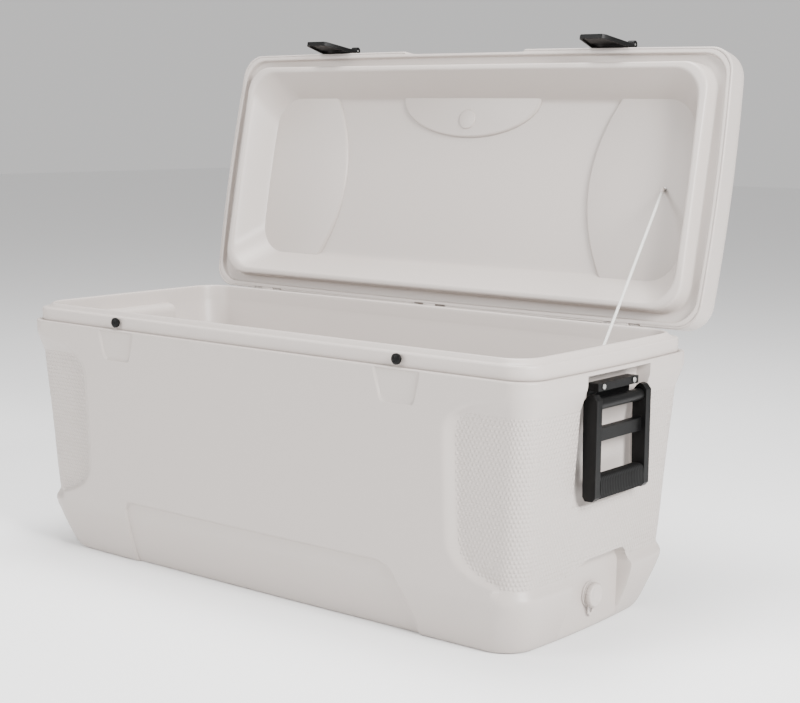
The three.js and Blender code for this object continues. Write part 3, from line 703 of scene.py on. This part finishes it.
@dataclass
class WoundSheet:
    """A sheet wound round a bowed rectangle with round corners, level by level."""

    hold_long: float = 380.0
    hold_short: float = 90.0
    extra_columns: tuple[float, ...] = ()
    corner_steps: int = 10
    long_columns: tuple[float, ...] = (
        (0, 25, 34.5, 36, 37.5, 50, 75, 100, 125, 150, 175, 200, 225, 245)
        + tuple(LATCH_X + d for d in (-56, -50, -44, -40.5, -38.5, -37, -35.2, -33, -28, -15, 0))
        + tuple(LATCH_X + d for d in (15, 28, 33, 35.2, 37, 38.5, 40.5, 44, 50))
        + (364.5, 366, 367.5, 373, 380, 385, 390, 395, 400, 405, 410, 415, 420, 425, 432, 436.5, 438)
        + (439.5, 448, 458, 468, 478, 488, 496)
    )
    short_columns: tuple[float, ...] = (
        (0, 12, 24, 36, 48, 58, 66, 74, 79, 81, 82.5, 84, 85.5, 87, 88.5, 90.5, 95, 105, 120, 135)
        + (150, 165, 178)
    )

    def stations(self) -> list[Station]:
        """Columns in order, counter-clockwise from above, starting in the back right corner."""
        long_homes = sorted({*self.long_columns, *self.extra_columns})
        made: list[Station] = []
        corners = ((1, 1, Side.BACK), (-1, 1, Side.LEFT), (-1, -1, Side.FRONT), (1, -1, Side.RIGHT))
        for number, (sign_x, sign_y, side) in enumerate(corners):
            for step in range(self.corner_steps + 1):
                angle = (number + step / self.corner_steps) * math.pi / 2
                made.append(Station(Side.CORNER, angle, sign_x, sign_y))
            homes = long_homes if side in (Side.FRONT, Side.BACK) else list(self.short_columns)
            line = [-h for h in reversed(homes) if h > 0] + homes
            if side in (Side.BACK, Side.LEFT):
                line.reverse()
            made += [Station(side, h) for h in line]
        return made

    def corner(self, level: Level) -> float:
        """Radius of the corners in a row."""
        return CORNER_RADIUS + 0.2 * level.inset_x

    def warp(self, station: Station, level: Level) -> Level:
        """Moves a row where it passes a column; a plain sheet's rows are level."""
        return level

    def sculpt(self, station: Station, level: Level, point: Vector, out: Vector) -> tuple[Vector, float]:
        """Moves a point of the plain outline and says how grained the surface is there, from 0 to 1."""
        return point, 0.0

    def spot(self, station: Station, level: Level) -> tuple[Vector, Vector]:
        """Finds a point of the plain outline.

        Args:
            station: the column.
            level: the row.

        Returns:
            The point and its outward direction, in millimetres.
        """
        half_x, half_y = HALF_LENGTH - level.inset_x, HALF_DEPTH - level.inset_y
        radius = self.corner(level)
        reach_x, reach_y = half_x - radius, half_y - radius
        if station.side is Side.CORNER:
            out = Vector((math.cos(station.home), math.sin(station.home), 0))
            centre = Vector((station.sign_x * reach_x, station.sign_y * reach_y, level.z))
            return centre + out * radius, out
        hold = self.hold_short if station.is_end else self.hold_long
        home_reach = (HALF_DEPTH if station.is_end else HALF_LENGTH) - CORNER_RADIUS
        reach = reach_y if station.is_end else reach_x
        along = abs(station.home)
        if along > hold:
            along = hold + (along - hold) * (reach - hold) / (home_reach - hold)
        along = math.copysign(along, station.home)
        swell = level.bow * (END_BOW if station.is_end else SIDE_BOW) * (1 - (along / reach) ** 2)
        if station.is_end:
            sign = 1 if station.side is Side.RIGHT else -1
            return Vector((sign * (half_x + swell), along, level.z)), Vector((sign, 0, 0))
        sign = 1 if station.side is Side.BACK else -1
        return Vector((along, sign * (half_y + swell), level.z)), Vector((0, sign, 0))

    def wind(self, levels: Sequence[Level], close: Close, flip: bool = False) -> BMesh:
        """Winds the sheet.

        Args:
            levels: the rows in order.
            close: the end that gets a closing face.
            flip: turns the faces round, for a sheet seen from below.

        Returns:
            The sheet, in millimetres.
        """
        stations = self.stations()
        columns, rows = len(stations), len(levels) - 1
        bm = bmesh.new()
        bmesh.ops.create_grid(bm, x_segments=columns, y_segments=rows, size=0.5)
        run = bm.loops.layers.uv.new("run")
        grain = bm.verts.layers.float.new("grain_field")
        lengths = self._lengths(stations)
        places = {
            vert: (round((vert.co.x + 0.5) * columns), round((vert.co.y + 0.5) * rows)) for vert in bm.verts
        }
        for vert, (column, row) in places.items():
            station = stations[column % columns]
            level = self.warp(station, levels[row])
            vert.co, vert[grain] = self.sculpt(station, level, *self.spot(station, level))
        for face in bm.faces:
            for loop in face.loops:
                loop[run].uv = (lengths[places[loop.vert][0]] * MM, loop.vert.co.z * MM)
        wanted = 0 if close is Close.FIRST else rows
        loose = [v for v, (column, row) in places.items() if row == wanted and column < columns]
        edge = sorted(loose, key=lambda v: places[v][0])
        bmesh.ops.weld_verts(bm, targetmap=self._twins(places, columns))
        bm.faces.new(list(reversed(edge)) if close is Close.FIRST else edge)
        if flip:
            bmesh.ops.reverse_faces(bm, faces=bm.faces)
        return bm

    @staticmethod
    def _twins(places: dict[BMVert, tuple[int, int]], columns: int) -> dict[BMVert, BMVert]:
        """Pairs each point of the last column with its twin in the first."""
        first = {row: vert for vert, (column, row) in places.items() if column == 0}
        return {vert: first[row] for vert, (column, row) in places.items() if column == columns}

    def _lengths(self, stations: Sequence[Station]) -> list[float]:
        """Distance along the band to each column, with the full turn as the last."""
        flat = Level(0, 0, 0)
        points = [self.spot(s, flat)[0] for s in stations]
        total, found = 0.0, [0.0]
        for a, b in zip(points, points[1:] + points[:1]):
            total += (b - a).length
            found.append(total)
        return found


# ---------------------------------------------------------------- the tub


@dataclass
class TubShell(WoundSheet):
    """The outer shell: a bulging hull with recessed, grained ends and corners."""

    extra_columns: tuple[float, ...] = (
        (284, 288, 296, 300, 303, 305, 306.3, 308.8, 310, 311.3, 313.5, 317, 326, 330, 340, 350)
    )
    inset_x: Profile = Profile(
        ((0, 53.5), (1.2, 51.2), (5, 47.6), (14, 43), (40, 34), (65, 25.5), (89, 20), (240, 9.8), (393, 0.4))
        + ((413, 0), (415, 0.4), (416, 1.6))
    )
    inset_y: Profile = Profile(
        ((0, 48.5), (1.2, 46.2), (5, 43), (14, 39), (40, 30.5), (65, 24), (89, 18), (240, 9), (393, 0.4))
        + ((413, 0), (415, 0.4), (416, 1.6))
    )
    recess: Profile = Profile(
        ((84, 0), (89, 0), (92, 0.8), (96, 3.2), (101, 7), (106, 9.8), (111, RECESS_DEPTH))
        + ((350, RECESS_DEPTH), (358, 10.2), (368, 7.6), (378, 4.6), (388, 1.6), (393, 0.3), (396, 0))
    )
    middle: Profile = Profile(
        ((84, 560), (90, 530), (97, 506), (103, 486), (110, 458), (118, 436), (128, 417), (141, 403))
        + ((156, 395), (176, 391), (328, 391), (343, 395), (355, 403), (366, 418), (376, 442))
        + ((386, 490), (394, 560))
    )
    channel: Profile = Profile(
        ((203, 560), (207, 531.5), (213, 526), (226, 520.5), (245, 518), (325, 518), (340, 521.5))
        + ((352, 526), (396, 526), (403, 528), (408.5, 534), (410.5, 542), (411.5, 560))
    )
    arch: Profile = Profile(
        ((-100, 120), (-84, 92), (-80, 96), (-62, 112), (-30, 121), (60, 121), (76, 113))
        + ((82, 96), (84, 95), (100, 120))
    )
    panel_end: Profile = Profile(((0, 321), (21, 319), (57, 307), (90, 291), (105, 279), (113, 262)))
    levels: tuple[float, ...] = (
        (0, 0.5, 1.2, 2.6, 5, 8, 14, 22, 31, 40, 50, 58, 65, 73, 80, 84, 87, 89, 91, 93, 95, 97, 99, 101)
        + (103, 105, 107, 109, 110.5, 112, 113.5, 115, 117, 118.5, 120, 121.5, 123, 126, 131, 137, 143, 150)
        + (160, 175, 190, 200, 203, 205, 207, 209, 212, 216, 222, 230, 245, 270, 300, 325, 334, 342, 348)
        + (352, 355, 358, 361, 362.4, 363.6, 365, 368, 372, 376, 380, 384, 388, 391, 393, 396, 400, 403)
        + (405.5, 407.5, 409, 410.2, 411.2, 412.3, 413.4, 414.4, 415.2, 415.7, BAND_TOP)
    )
    arch_row: float = 120.0  # the height whose row follows the niche's arch
    arch_spread: float = 42.0
    niche_plane: float = 503.0
    niche_half: float = 82.0
    channel_half: float = 87.0
    pad_heights: Pair = (363.0, 413.0)  # the latch pads on the front
    pad_halves: Pair = (32.5, 42.0)  # their half-widths at those heights
    pad_columns: float = 37.0  # half-width of the columns that are drawn apart to follow a pad
    pad_depth: float = 2.8
    panel_left: float = -309.0
    panel_top: float = 113.0
    panel_depth: float = 5.2

    def warp(self, station: Station, level: Level) -> Level:
        """Works out a row's insets and bends the rows over the drain's niche along its arch."""
        z = level.z
        if level.inset_x >= 0:
            return level
        if station.side is Side.RIGHT and abs(station.home) < 100:
            lift = self.arch(station.home) - self.arch_row
            z += lift * max(0.0, 1 - abs(z - self.arch_row) / self.arch_spread)
        return Level(z, self.inset_x(z), self.inset_y(z))

    def sculpt(self, station: Station, level: Level, point: Vector, out: Vector) -> tuple[Vector, float]:
        """Sinks the grained ends, latch pads, front panel, hinge seats, handle wells and niche."""
        z = level.z
        depth = self.recess(z)
        if station.side in (Side.FRONT, Side.BACK):
            edge = self.middle(z)
            depth *= smooth(edge - 2, edge + 20, abs(point.x))
        grain = smooth(0.75 * RECESS_DEPTH, 0.98 * RECESS_DEPTH, depth)
        point = point - out * depth
        if station.side is Side.FRONT:
            point = self._front(point, z)
        elif station.side is Side.BACK:
            seat = hinge_seat(point.x) * smooth(355, 357, z)
            point.y = press(point.y, FLAT_Y, seat)
        elif station.is_end:
            wall = abs(point.x)
            inside = smooth(self.channel_half + 1.2, self.channel_half - 1, abs(point.y))
            sunk = min(wall, self.channel(z))
            grain *= 1 - smooth(0.5, 2.0, (wall - sunk) * inside)
            wall = press(wall, sunk, inside)
            if station.side is Side.RIGHT:
                arch = self.arch(point.y)
                inside = smooth(self.niche_half + 1.2, self.niche_half - 1.2, abs(point.y))
                inside *= smooth(arch + 1.6, arch - 1.6, z)
                grain *= 1 - inside
                wall = press(wall, self.niche_plane, inside)
            point.x = math.copysign(wall, point.x)
        return point, grain

    def _front(self, point: Vector, z: float) -> Vector:
        """Sinks the latch pads and the long low panel."""
        low, high = self.pad_heights
        offset = abs(point.x) - LATCH_X
        if z > low - 23 and abs(offset) < 60:
            half = self.pad_halves[0] + (self.pad_halves[1] - self.pad_halves[0]) * smooth(low, high, z)
            spread = half / self.pad_columns
            offset *= spread + (1 - spread) * max(smooth(44, 58, abs(offset)), smooth(low - 8, low - 21, z))
            point.x = math.copysign(LATCH_X + offset, point.x)
            corner = 3.5 * smooth(low + 8, low, z)
            pad = smooth(half + 0.8 - corner, half - 1.6 - corner, abs(offset))
            pad *= smooth(low - 0.6, low + 1.6, z) * smooth(high + 1.2, high - 0.8, z)
            point.y += self.pad_depth * pad
        round_off = 7 * smooth(self.panel_top - 16, self.panel_top, z)
        left = smooth(self.panel_left - 1.4, self.panel_left + 1.6, point.x - round_off)
        right = smooth(1.5, -3.5, point.x - self.panel_end(z))
        top = smooth(self.panel_top + 1.4, self.panel_top - 1.6, z)
        point.y += self.panel_depth * left * right * top
        return point

    def build(self, shop: Workshop) -> None:
        """Builds the shell."""
        rows = [Level(z, -1, -1) for z in self.levels]  # warp works out their insets
        rows += [Level(BAND_TOP, 4, 4), Level(BAND_TOP, 8.6, 8.6)]
        sheet = self.wind(rows, Close.FIRST)
        piece = shop.finish("tub_shell", sheet, Finish.SHELL, "tub", ["body_shell"], sharp=50)
        shop.thicken(piece, 2.6)


@dataclass
class TubLiner(WoundSheet):
    """Collar, lip, inner walls and floor in one moulding."""

    boss: Profile = Profile(((0, 491), (405, 493), (412, 495), (417, 499), (419.2, 505), (420, 530)))
    rows: tuple[Row, ...] = (
        (414.5, 8.4, 8.4, 1), (416.3, 7.6, 7.6, 1), (418, 7, 7, 1), (427, 7, 7, 1), (434.8, 7, 7, 1),
        (436.4, 7.3, 7.3, 1), (437.4, 8, 8, 1), (438, 9.4, 9.4, 1), (438, 12, 11.6, 1),
        (438.1, 14.4, 13.2, 1), (438.8, 15.6, 14.2, 1), (441.6, 17.8, 15.5, 1), (444.2, 19.7, 16.6, 1),
        (445.4, 20.8, 17.4, 1), (446, 22.3, 18.6, 0.7), (445.9, 23.6, 20, 0.2), (445, 24.6, 21.1, 0),
        (443.4, 25.1, 21.5, 0), (438, 25.6, 21.9, 0), (430, 26.4, 22.7, 0), (422, 27.2, 23.3, 0),
        (420, 27.4, 23.4, 0), (419, 27.5, 23.5, 0), (417.5, 27.7, 23.7, 0), (415, 28, 23.9, 0),
        (411, 28.6, 24.5, 0), (405, 29.6, 25.2, 0), (390, 32.2, 27, 0), (340, 41.5, 33.5, 0),
        (270, 46.8, 37.5, 0), (190, 52.6, 41.6, 0), (112, 58, 46.5, 0), (70, 62, 50, 0), (56, 63.6, 51.6, 0),
        (48, 65.6, 53.6, 0), (42.5, 69.5, 57.5, 0), (39.4, 75, 63, 0), (38.1, 81, 69, 0), (38, 87, 75, 0),
    )

    def corner(self, level: Level) -> float:
        """Radius of the corners: the cavity's stay as tight as the mouth's."""
        return min(super().corner(level), 47) - 4.5 * smooth(21, 26, level.inset_x)

    def sculpt(self, station: Station, level: Level, point: Vector, out: Vector) -> tuple[Vector, float]:
        """Brings the inner end walls forward behind the handles."""
        if station.is_end and level.inset_x > 24:
            wall = abs(point.x)
            inside = smooth(86.5, 82.0, abs(point.y))
            point.x = math.copysign(press(wall, self.boss(level.z), inside), point.x)
        return point, 0.0

    def build(self, shop: Workshop) -> None:
        """Builds the liner."""
        sheet = self.wind([Level(*row) for row in self.rows], Close.LAST)
        piece = shop.finish(
            "tub_liner", sheet, Finish.LINER, "tub", ["body_liner", "body_liner_floor"], sharp=50
        )
        shop.thicken(piece, 2.6)


# ---------------------------------------------------------------- the lid


@dataclass
class LidShell(WoundSheet):
    """The lid's outside, with a finger notch in front and seats for the hinges behind."""

    hold_short: float = 60.0
    extra_columns: tuple[float, ...] = (121, 123, 127, 129, 131, 133, 135, 137)
    inset: Profile = Profile(
        ((RIM, 1.3), (439, 0.5), (440, 0), (474, 0.6), (484, 2.2), (493, 6), (501, 12), (508, 20.5))
        + ((513, 31), (516, 46))
    )
    levels: tuple[float, ...] = (
        (RIM, 438.7, 439.2, 440, 443, 448, 454, 460, 463, 464.5, 466, 467.5, 470, 474, 479, 482, 483.5)
        + (485, 487, 490, 494, 498, 502, 505, 508, 511, 513.5, 515.2, 516)
    )
    notch_half: float = 134.0

    def sculpt(self, station: Station, level: Level, point: Vector, out: Vector) -> tuple[Vector, float]:
        """Sinks the finger notch and the hinge seats."""
        z = level.z
        if station.side is Side.FRONT:
            half = self.notch_half - 8 * smooth(438, 466, z)
            notch = smooth(half + 1.5, half - 2.5, abs(point.x)) * smooth(467.5, 464, z)
            point.y = -press(-point.y, FLAT_Y, notch)
        elif station.side is Side.BACK:
            seat = hinge_seat(point.x) * smooth(485, 483, z)
            point.y = press(point.y, FLAT_Y, seat)
        return point, 0.0

    def build(self, shop: Workshop) -> None:
        """Builds the shell, closed, and opens it."""
        rows = [Level(RIM, 4, 4)] + [Level(z, self.inset(z), self.inset(z)) for z in self.levels]
        rows += [Level(516.7, 62, 62), Level(517, 80, 80), Level(517, 96, 96)]
        sheet = self.wind(rows, Close.LAST)
        piece = shop.finish("lid_shell_piece", sheet, Finish.SHELL, "lid", ["lid_shell"], True, 50)
        shop.thicken(piece, 2.6)


@dataclass
class LidLiner(WoundSheet):
    """The lid's underside: skirt, groove for the tub's lip, plug and hollow."""

    hold_short: float = 60.0
    rows: tuple[Row, ...] = (
        (441, 3.2, 3.2, 1), (438.6, 3.2, 3.2, 1), (438.4, 3.6, 3.6, 1), (438.4, 6, 6, 1),
        (438.4, 8.6, 8.6, 1),
        (438.7, 9.6, 9.6, 1), (439.8, 10.1, 10.1, 1), (444, 10.3, 10.3, 1), (447.2, 10.6, 10.6, 1),
        (448.3, 11.4, 11.4, 1), (448.5, 13, 12.8, 1), (448.5, 18, 16, 0.7), (448.5, 25.6, 21.6, 0.3),
        (448.2, 27.4, 23.4, 0), (447, 28.4, 24.3, 0), (440, 29.8, 25, 0), (432, 31.4, 25.8, 0),
        (426, 32.6, 26.4, 0), (423.6, 33.6, 27.2, 0), (422.4, 35.4, 29, 0), (422.2, 37.5, 31, 0.2),
        (422.2, 41, 34, 0.3), (422.3, 44.4, 35.6, 0.4), (423.2, 46.8, 37.6, 0.4), (425.7, 48.7, 39.2, 0.4),
        (430, 51, 42.4, 0.4), (440, 55.8, 49.8, 0.4), (455, 62.8, 61, 0.4), (468, 69, 70.4, 0.4),
        (476, 72.8, 76, 0.4), (481, 75.6, 79, 0.4), (484, 79, 82.4, 0.4), (484.9, 83, 86, 0.4),
        (485, 90, 93, 0.4),
    )

    def sculpt(self, station: Station, level: Level, point: Vector, out: Vector) -> tuple[Vector, float]:
        """Keeps the skirt behind the finger notch and the hinge seats."""
        if level.inset_x < 9:
            if station.side is Side.FRONT:
                notch = smooth(135.5, 131.5, abs(point.x))
                point.y = -press(-point.y, FLAT_Y - 0.2, notch)
            elif station.side is Side.BACK:
                point.y = press(point.y, FLAT_Y - 0.2, hinge_seat(point.x))
        return point, 0.0

    def build(self, shop: Workshop) -> None:
        """Builds the liner and its raised pads, closed, and opens them."""
        sheet = self.wind([Level(*row) for row in self.rows], Close.LAST, flip=True)
        piece = shop.finish("lid_liner_piece", sheet, Finish.LINER, "lid", ["lid_liner"], True, 50)
        shop.thicken(piece, 2.4)
        self._pads(shop)

    @staticmethod
    def _arc(centre: Pair, radii: Pair, start: float, end: float, steps: int) -> list[Pair]:
        """Points of an arc of an ellipse, angles in degrees."""
        turns = [math.radians(start + (end - start) * i / steps) for i in range(steps + 1)]
        return [(centre[0] + radii[0] * math.cos(a), centre[1] + radii[1] * math.sin(a)) for a in turns]

    def _pads(self, shop: Workshop) -> None:
        """Half-moon pad at the front with its round boss, and one pad at each end."""
        moon = [(155, -163)] + self._arc((0, -155), (155, 72), 0, 180, 48) + [(-155, -163)]
        shop.plate("lid_pad_front", moon, (PAD_LEVEL, 486), Finish.LINER, "lid", bevel=4.5, on_lid=True)
        disc = self._arc((0, -116), (18, 18), 0, 352.5, 47)
        span = (PAD_LEVEL - 2.8, 480)
        shop.plate("lid_boss_front", disc, span, Finish.LINER, "lid", bevel=2.2, on_lid=True)
        high = self._arc((414, 98), (63, 63), 90, 0, 12)
        low = self._arc((414, -98), (63, 63), 0, -90, 12)
        for name, sign in SIDES:
            inner = [(275 + 43 * (y / 152) ** 2, y) for y in range(-160, 161, 5)]
            outline = [(sign * x, y) for x, y in inner + high + low]
            span = (PAD_LEVEL, 486)
            shop.plate(f"lid_pad_{name}", outline, span, Finish.LINER, "lid", bevel=5, on_lid=True)


# ---------------------------------------------------------------- hardware


@dataclass
class Hinges:
    """Three plastic hinges behind, each with two leaves, a steel pin and four screws."""

    names: tuple[str, ...] = ("left", "middle", "right")
    edge: float = 0.8

    def build(self, shop: Workshop) -> None:
        """Dresses every hinge."""
        for name in self.names:
            shop.dress(f"hinge_tub_leaf_{name}", Finish.HINGE, "tub", self.edge)
            shop.dress(f"hinge_lid_leaf_{name}", Finish.HINGE, "lid", self.edge)
            shop.dress(f"hinge_pin_{name}", Finish.STEEL, "tub", 0.3)
            for end in "ab":
                shop.dress(f"hinge_tub_screw_{name}_{end}", Finish.STEEL, "tub", 0.35)
                shop.dress(f"hinge_lid_screw_{name}_{end}", Finish.STEEL, "lid", 0.35)


@dataclass
class Latches:
    """Two black levers on the lid and the studs that they hook over."""

    head_radius: float = 8.6
    edge: float = 1.1

    def build(self, shop: Workshop) -> None:
        """Dresses the latches and turns the studs."""
        for name, side in SIDES:
            shop.dress(f"latch_lever_{name}", Finish.BLACK, f"latch_{name}", self.edge)
            shop.dress(f"latch_bracket_{name}", Finish.BLACK, "lid", self.edge)
            shop.dress(f"latch_pin_{name}", Finish.STEEL, "lid", 0.3)
            for end in "ab":
                shop.dress(f"latch_screw_{name}_{end}", Finish.STEEL, "lid", 0.35)
            self._stud(shop, name, side)

    def _stud(self, shop: Workshop, name: str, side: int) -> None:
        """Turns one stud with its black screw."""
        start = Vector((side * LATCH_X, -236.2, STUD_Z))
        into = Vector((0, 1, 0))
        outline = (
            (0.9, 0), (0.9, 3.4), (0, 3.9), (0.1, 5.6), (0.9, 7.2), (2.4, self.head_radius),
            (5.4, self.head_radius), (6.6, 8.0), (7.2, 6.2), (9.2, 6), (9.2, 3), (18, 3), (18, 0),
        )
        shop.turned(f"stud_{name}", outline, start, into, Finish.BLACK, "tub", [f"catch_stud_{name}"])
        screw = ((0.3, 0), (0.25, 1.6), (0.6, 2.9), (1.2, 3.2), (1.2, 0))
        shop.turned(f"stud_screw_{name}", screw, start, into, Finish.BLACK, "tub")


@dataclass
class Handles:
    """Swinging handles at both ends: bracket, bail, rod, screws and a ribbed grip."""

    half_grip: float = 62.2
    centre: Pair = (546.5, 241.8)  # x, z
    half_size: Pair = (12.0, 18.2)
    ribs: int = 27
    rib_depth: float = 0.9

    def build(self, shop: Workshop) -> None:
        """Builds both handles."""
        for name, side in SIDES:
            shop.dress(f"handle_bail_{name}", Finish.BLACK, f"handle_{name}", 1.8, 25)
            shop.dress(f"handle_bracket_{name}", Finish.BLACK, "tub", 1.0)
            shop.dress(f"handle_rod_{name}", Finish.STEEL, "tub", 0.4)
            for end in "ab":
                shop.dress(f"handle_screw_{name}_{end}", Finish.STEEL, "tub", 0.5)
            self._grip(shop, name, side)

    def _grip(self, shop: Workshop, name: str, side: int) -> None:
        """Builds a grip as a rounded bar with ribs across it."""
        bm = bmesh.new()
        ring = bmesh.ops.create_circle(bm, segments=36, radius=1.0)["verts"]
        half_x, half_z = self.half_size
        for vert in ring:
            angle = math.atan2(vert.co.y, vert.co.x)
            blunt = (abs(math.cos(angle)) ** 4 + abs(math.sin(angle)) ** 4) ** -0.25
            vert.co = Vector((
                side * self.centre[0] + half_x * blunt * math.cos(angle),
                -self.half_grip,
                self.centre[1] + half_z * blunt * math.sin(angle),
            ))
        middle = Vector((side * self.centre[0], 0, self.centre[1]))
        edges = list(bm.edges)
        bmesh.ops.contextual_create(bm, geom=edges)
        step = Vector((0, self.half_grip / (2 * self.ribs), 0))  # four steps to a rib and its groove
        groove = 1 - self.rib_depth / half_x
        size = 1.0
        for wanted in (1.0, 1.0, groove, groove) * self.ribs:
            edges, verts = extend(bm, edges, step)
            factor = wanted / size
            bmesh.ops.scale(bm, vec=(factor, 1, factor), space=Matrix.Translation(-middle), verts=verts)
            size = wanted
        bmesh.ops.contextual_create(bm, geom=edges)
        bmesh.ops.recalc_face_normals(bm, faces=bm.faces)
        shop.finish(f"grip_{name}", bm, Finish.GRIP, f"handle_{name}", [f"handle_grip_{name}"], sharp=60)


@dataclass
class Drain:
    """Spout through the wall with its gasket and nut, and a ribbed cap on a tether."""

    ribs: int = 24
    rim: float = 18.4  # the scallops lie outside this radius
    scallop: float = 0.045  # their depth, as a share of the radius

    def build(self, shop: Workshop) -> None:
        """Builds the drain."""
        shop.dress("drain_spout", Finish.DRAIN, "tub", 0.6)
        shop.dress("drain_gasket", Finish.SEAL, "tub", 0.4)
        shop.dress("drain_nut", Finish.DRAIN, "tub", 0.6)
        shop.dress("drain_tether", Finish.DRAIN, "drain_tether_ring", 0.4)
        self._cap(shop)

    def _cap(self, shop: Workshop) -> None:
        """Turns the cap with a scalloped rim and a dished face."""
        outline = (
            (7.6, 0), (7.6, 11.6), (0, 11.6), (0, 17.4), (0.6, 18.6), (1.6, 19.2), (6.6, 19.2), (8.4, 18.6),
            (9.5, 17.2), (9.8, 15.6), (9.6, 13.5), (8.9, 12.2), (8.8, 6), (9.0, 0),
        )
        steps = self.ribs * 4
        piece = shop.turned(
            "drain_cap_piece", outline, Vector((509.2, 0, DRAIN_Z)), Vector((1, 0, 0)),
            Finish.DRAIN, "drain_plug", ["drain_cap"], False, steps,
        )
        for vert in piece.data.vertices:
            y, z = vert.co.y, vert.co.z - DRAIN_Z * MM
            radius = math.hypot(y, z)
            if radius > self.rim * MM:
                wave = 0.5 - 0.5 * math.cos(math.atan2(z, y) * self.ribs)
                scale = 1 - self.scallop * wave
                vert.co.y, vert.co.z = y * scale, DRAIN_Z * MM + z * scale


@dataclass
class StayCord:
    """The cord that holds the open lid, from a screw in the lid to a screw in the tub's end wall."""

    radius: float = 2.4
    lid_end: Triple = (427.0, 0.0, 473.0)  # on the closed lid
    tub_end: Triple = (513.5, 0.0, 430.0)
    steps: int = 30
    sides: int = 12

    def _tube(self, length: float) -> BMesh:
        """Builds the straight cord, upright, with the braid's coordinates."""
        bm = bmesh.new()
        bmesh.ops.create_circle(bm, cap_ends=True, segments=self.sides, radius=self.radius)
        edges = list(bm.edges)
        step = Vector((0, 0, length / self.steps))
        for _ in range(self.steps):
            edges, _verts = extend(bm, edges, step)
        bmesh.ops.contextual_create(bm, geom=edges)
        bmesh.ops.recalc_face_normals(bm, faces=bm.faces)
        run = bm.loops.layers.uv.new("run")
        for face in bm.faces:
            turns = [math.atan2(l.vert.co.y, l.vert.co.x) / (2 * math.pi) % 1.0 for l in face.loops]
            wraps = max(turns) - min(turns) > 0.5
            for loop, around in zip(face.loops, turns):
                loop[run].uv = (around + 1.0 if wraps and around < 0.5 else around, loop.vert.co.z * MM)
        return bm

    def build(self, shop: Workshop) -> None:
        """Builds the cord, the sleeve at its lid end and the screws."""
        start = Vector(self.tub_end)
        lid_point = shop.lid_turn @ (Vector(self.lid_end) * MM) / MM
        line = lid_point - start
        way = line.normalized()
        turn = way.to_track_quat("Z", "Y").to_matrix().to_4x4()
        bm = self._tube(line.length)
        bmesh.ops.transform(bm, matrix=Matrix.Translation(start) @ turn, verts=bm.verts)
        piece = shop.finish("stay_cord_piece", bm, Finish.CORD, "", sharp=180)
        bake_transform(piece)
        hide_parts("stay_cord")
        ferrule = ((-3.4, 0), (-3.4, 2.6), (-2.8, 3.2), (8.6, 3.2), (9.2, 2.7), (9.2, 0))
        sleeve = shop.turned("stay_ferrule_lid", ferrule, lid_point, -way, Finish.DRAIN, "lid")
        shop.dress("stay_screw_tub", Finish.STEEL, "tub", 0.3)
        shop.dress("stay_screw_lid", Finish.STEEL, "lid", 0.3)
        log.info("stay cord: %.0f mm", line.length)


# ---------------------------------------------------------------- the studio


@dataclass(frozen=True)
class Studio:
    """Camera, lights and pale floor."""

    camera_place: Triple = (1.78175, -2.05882, 0.78296)
    yaw: float = math.radians(-38.77)
    pitch: float = math.radians(8.32)
    roll: float = math.radians(0.5)
    lens: float = 72.82

    def camera(self) -> None:
        """Places the camera."""
        ahead = Vector((
            math.sin(self.yaw) * math.cos(self.pitch),
            math.cos(self.yaw) * math.cos(self.pitch),
            -math.sin(self.pitch),
        ))
        right = ahead.cross(Vector((0, 0, 1))).normalized()
        up = right.cross(ahead)
        across = right * math.cos(self.roll) + up * math.sin(self.roll)
        upright = up * math.cos(self.roll) - right * math.sin(self.roll)
        data = bpy.data.cameras.new("camera")
        data.lens = self.lens
        data.sensor_width = 36.0
        camera = bpy.data.objects.new("camera", data)
        turn = Matrix((across, upright, -ahead)).transposed().to_4x4()
        camera.matrix_world = Matrix.Translation(self.camera_place) @ turn
        bpy.context.scene.collection.objects.link(camera)
        bpy.context.scene.camera = camera

    @staticmethod
    def lamp(name: str, place: Triple, aim: Triple, size: float, power: float) -> None:
        """Places one soft square lamp of a size in metres and a power in watts, facing its aim."""
        data = bpy.data.lights.new(name, "AREA")
        data.size = size
        data.energy = power
        lamp = bpy.data.objects.new(name, data)
        way = Vector(aim) - Vector(place)
        lamp.matrix_world = Matrix.Translation(place) @ way.to_track_quat("-Z", "Y").to_matrix().to_4x4()
        bpy.context.scene.collection.objects.link(lamp)

    def build(self) -> None:
        """Builds floor, lamps and world."""
        bm = bmesh.new()
        bmesh.ops.create_grid(bm, x_segments=1, y_segments=1, size=15.0)
        floor = link("floor", bm)
        shader = Shader("floor_paper")
        shader.surface(Base_Color=(0.9, 0.9, 0.9, 1.0), Roughness=0.9)
        floor.data.materials.append(shader.material)
        self.lamp("key", (3.1, -0.8, 1.9), (0.2, 0, 0.3), 1.2, 260)
        self.lamp("front", (-1.6, -3.2, 1.9), (0, 0, 0.3), 1.6, 110)
        self.lamp("top", (-0.2, 0.2, 3.2), (0, 0, 0.4), 1.6, 150)
        world = bpy.data.worlds.new("studio")
        world.use_nodes = True
        background = world.node_tree.nodes["Background"]
        background.inputs["Color"].default_value = (1.0, 0.99, 0.985, 1.0)
        background.inputs["Strength"].default_value = 0.7
        bpy.context.scene.world = world


def main() -> None:
    """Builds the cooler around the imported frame."""
    logging.basicConfig(level=logging.INFO, format="%(name)s: %(message)s")
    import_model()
    Studio().camera()
    shop = Workshop(Palette())
    shells = (TubShell(), TubLiner(), LidShell(), LidLiner())
    for assembly in (StayCord(), *shells, Hinges(), Latches(), Handles(), Drain()):
        assembly.build(shop)
    shop.dress("body_foam", Finish.FOAM, "tub", edge=0, shrink=5)
    shop.dress("lid_foam", Finish.FOAM, "lid", edge=0, shrink=1.5)
    Studio().build()


if __name__ == "__main__":
    main()
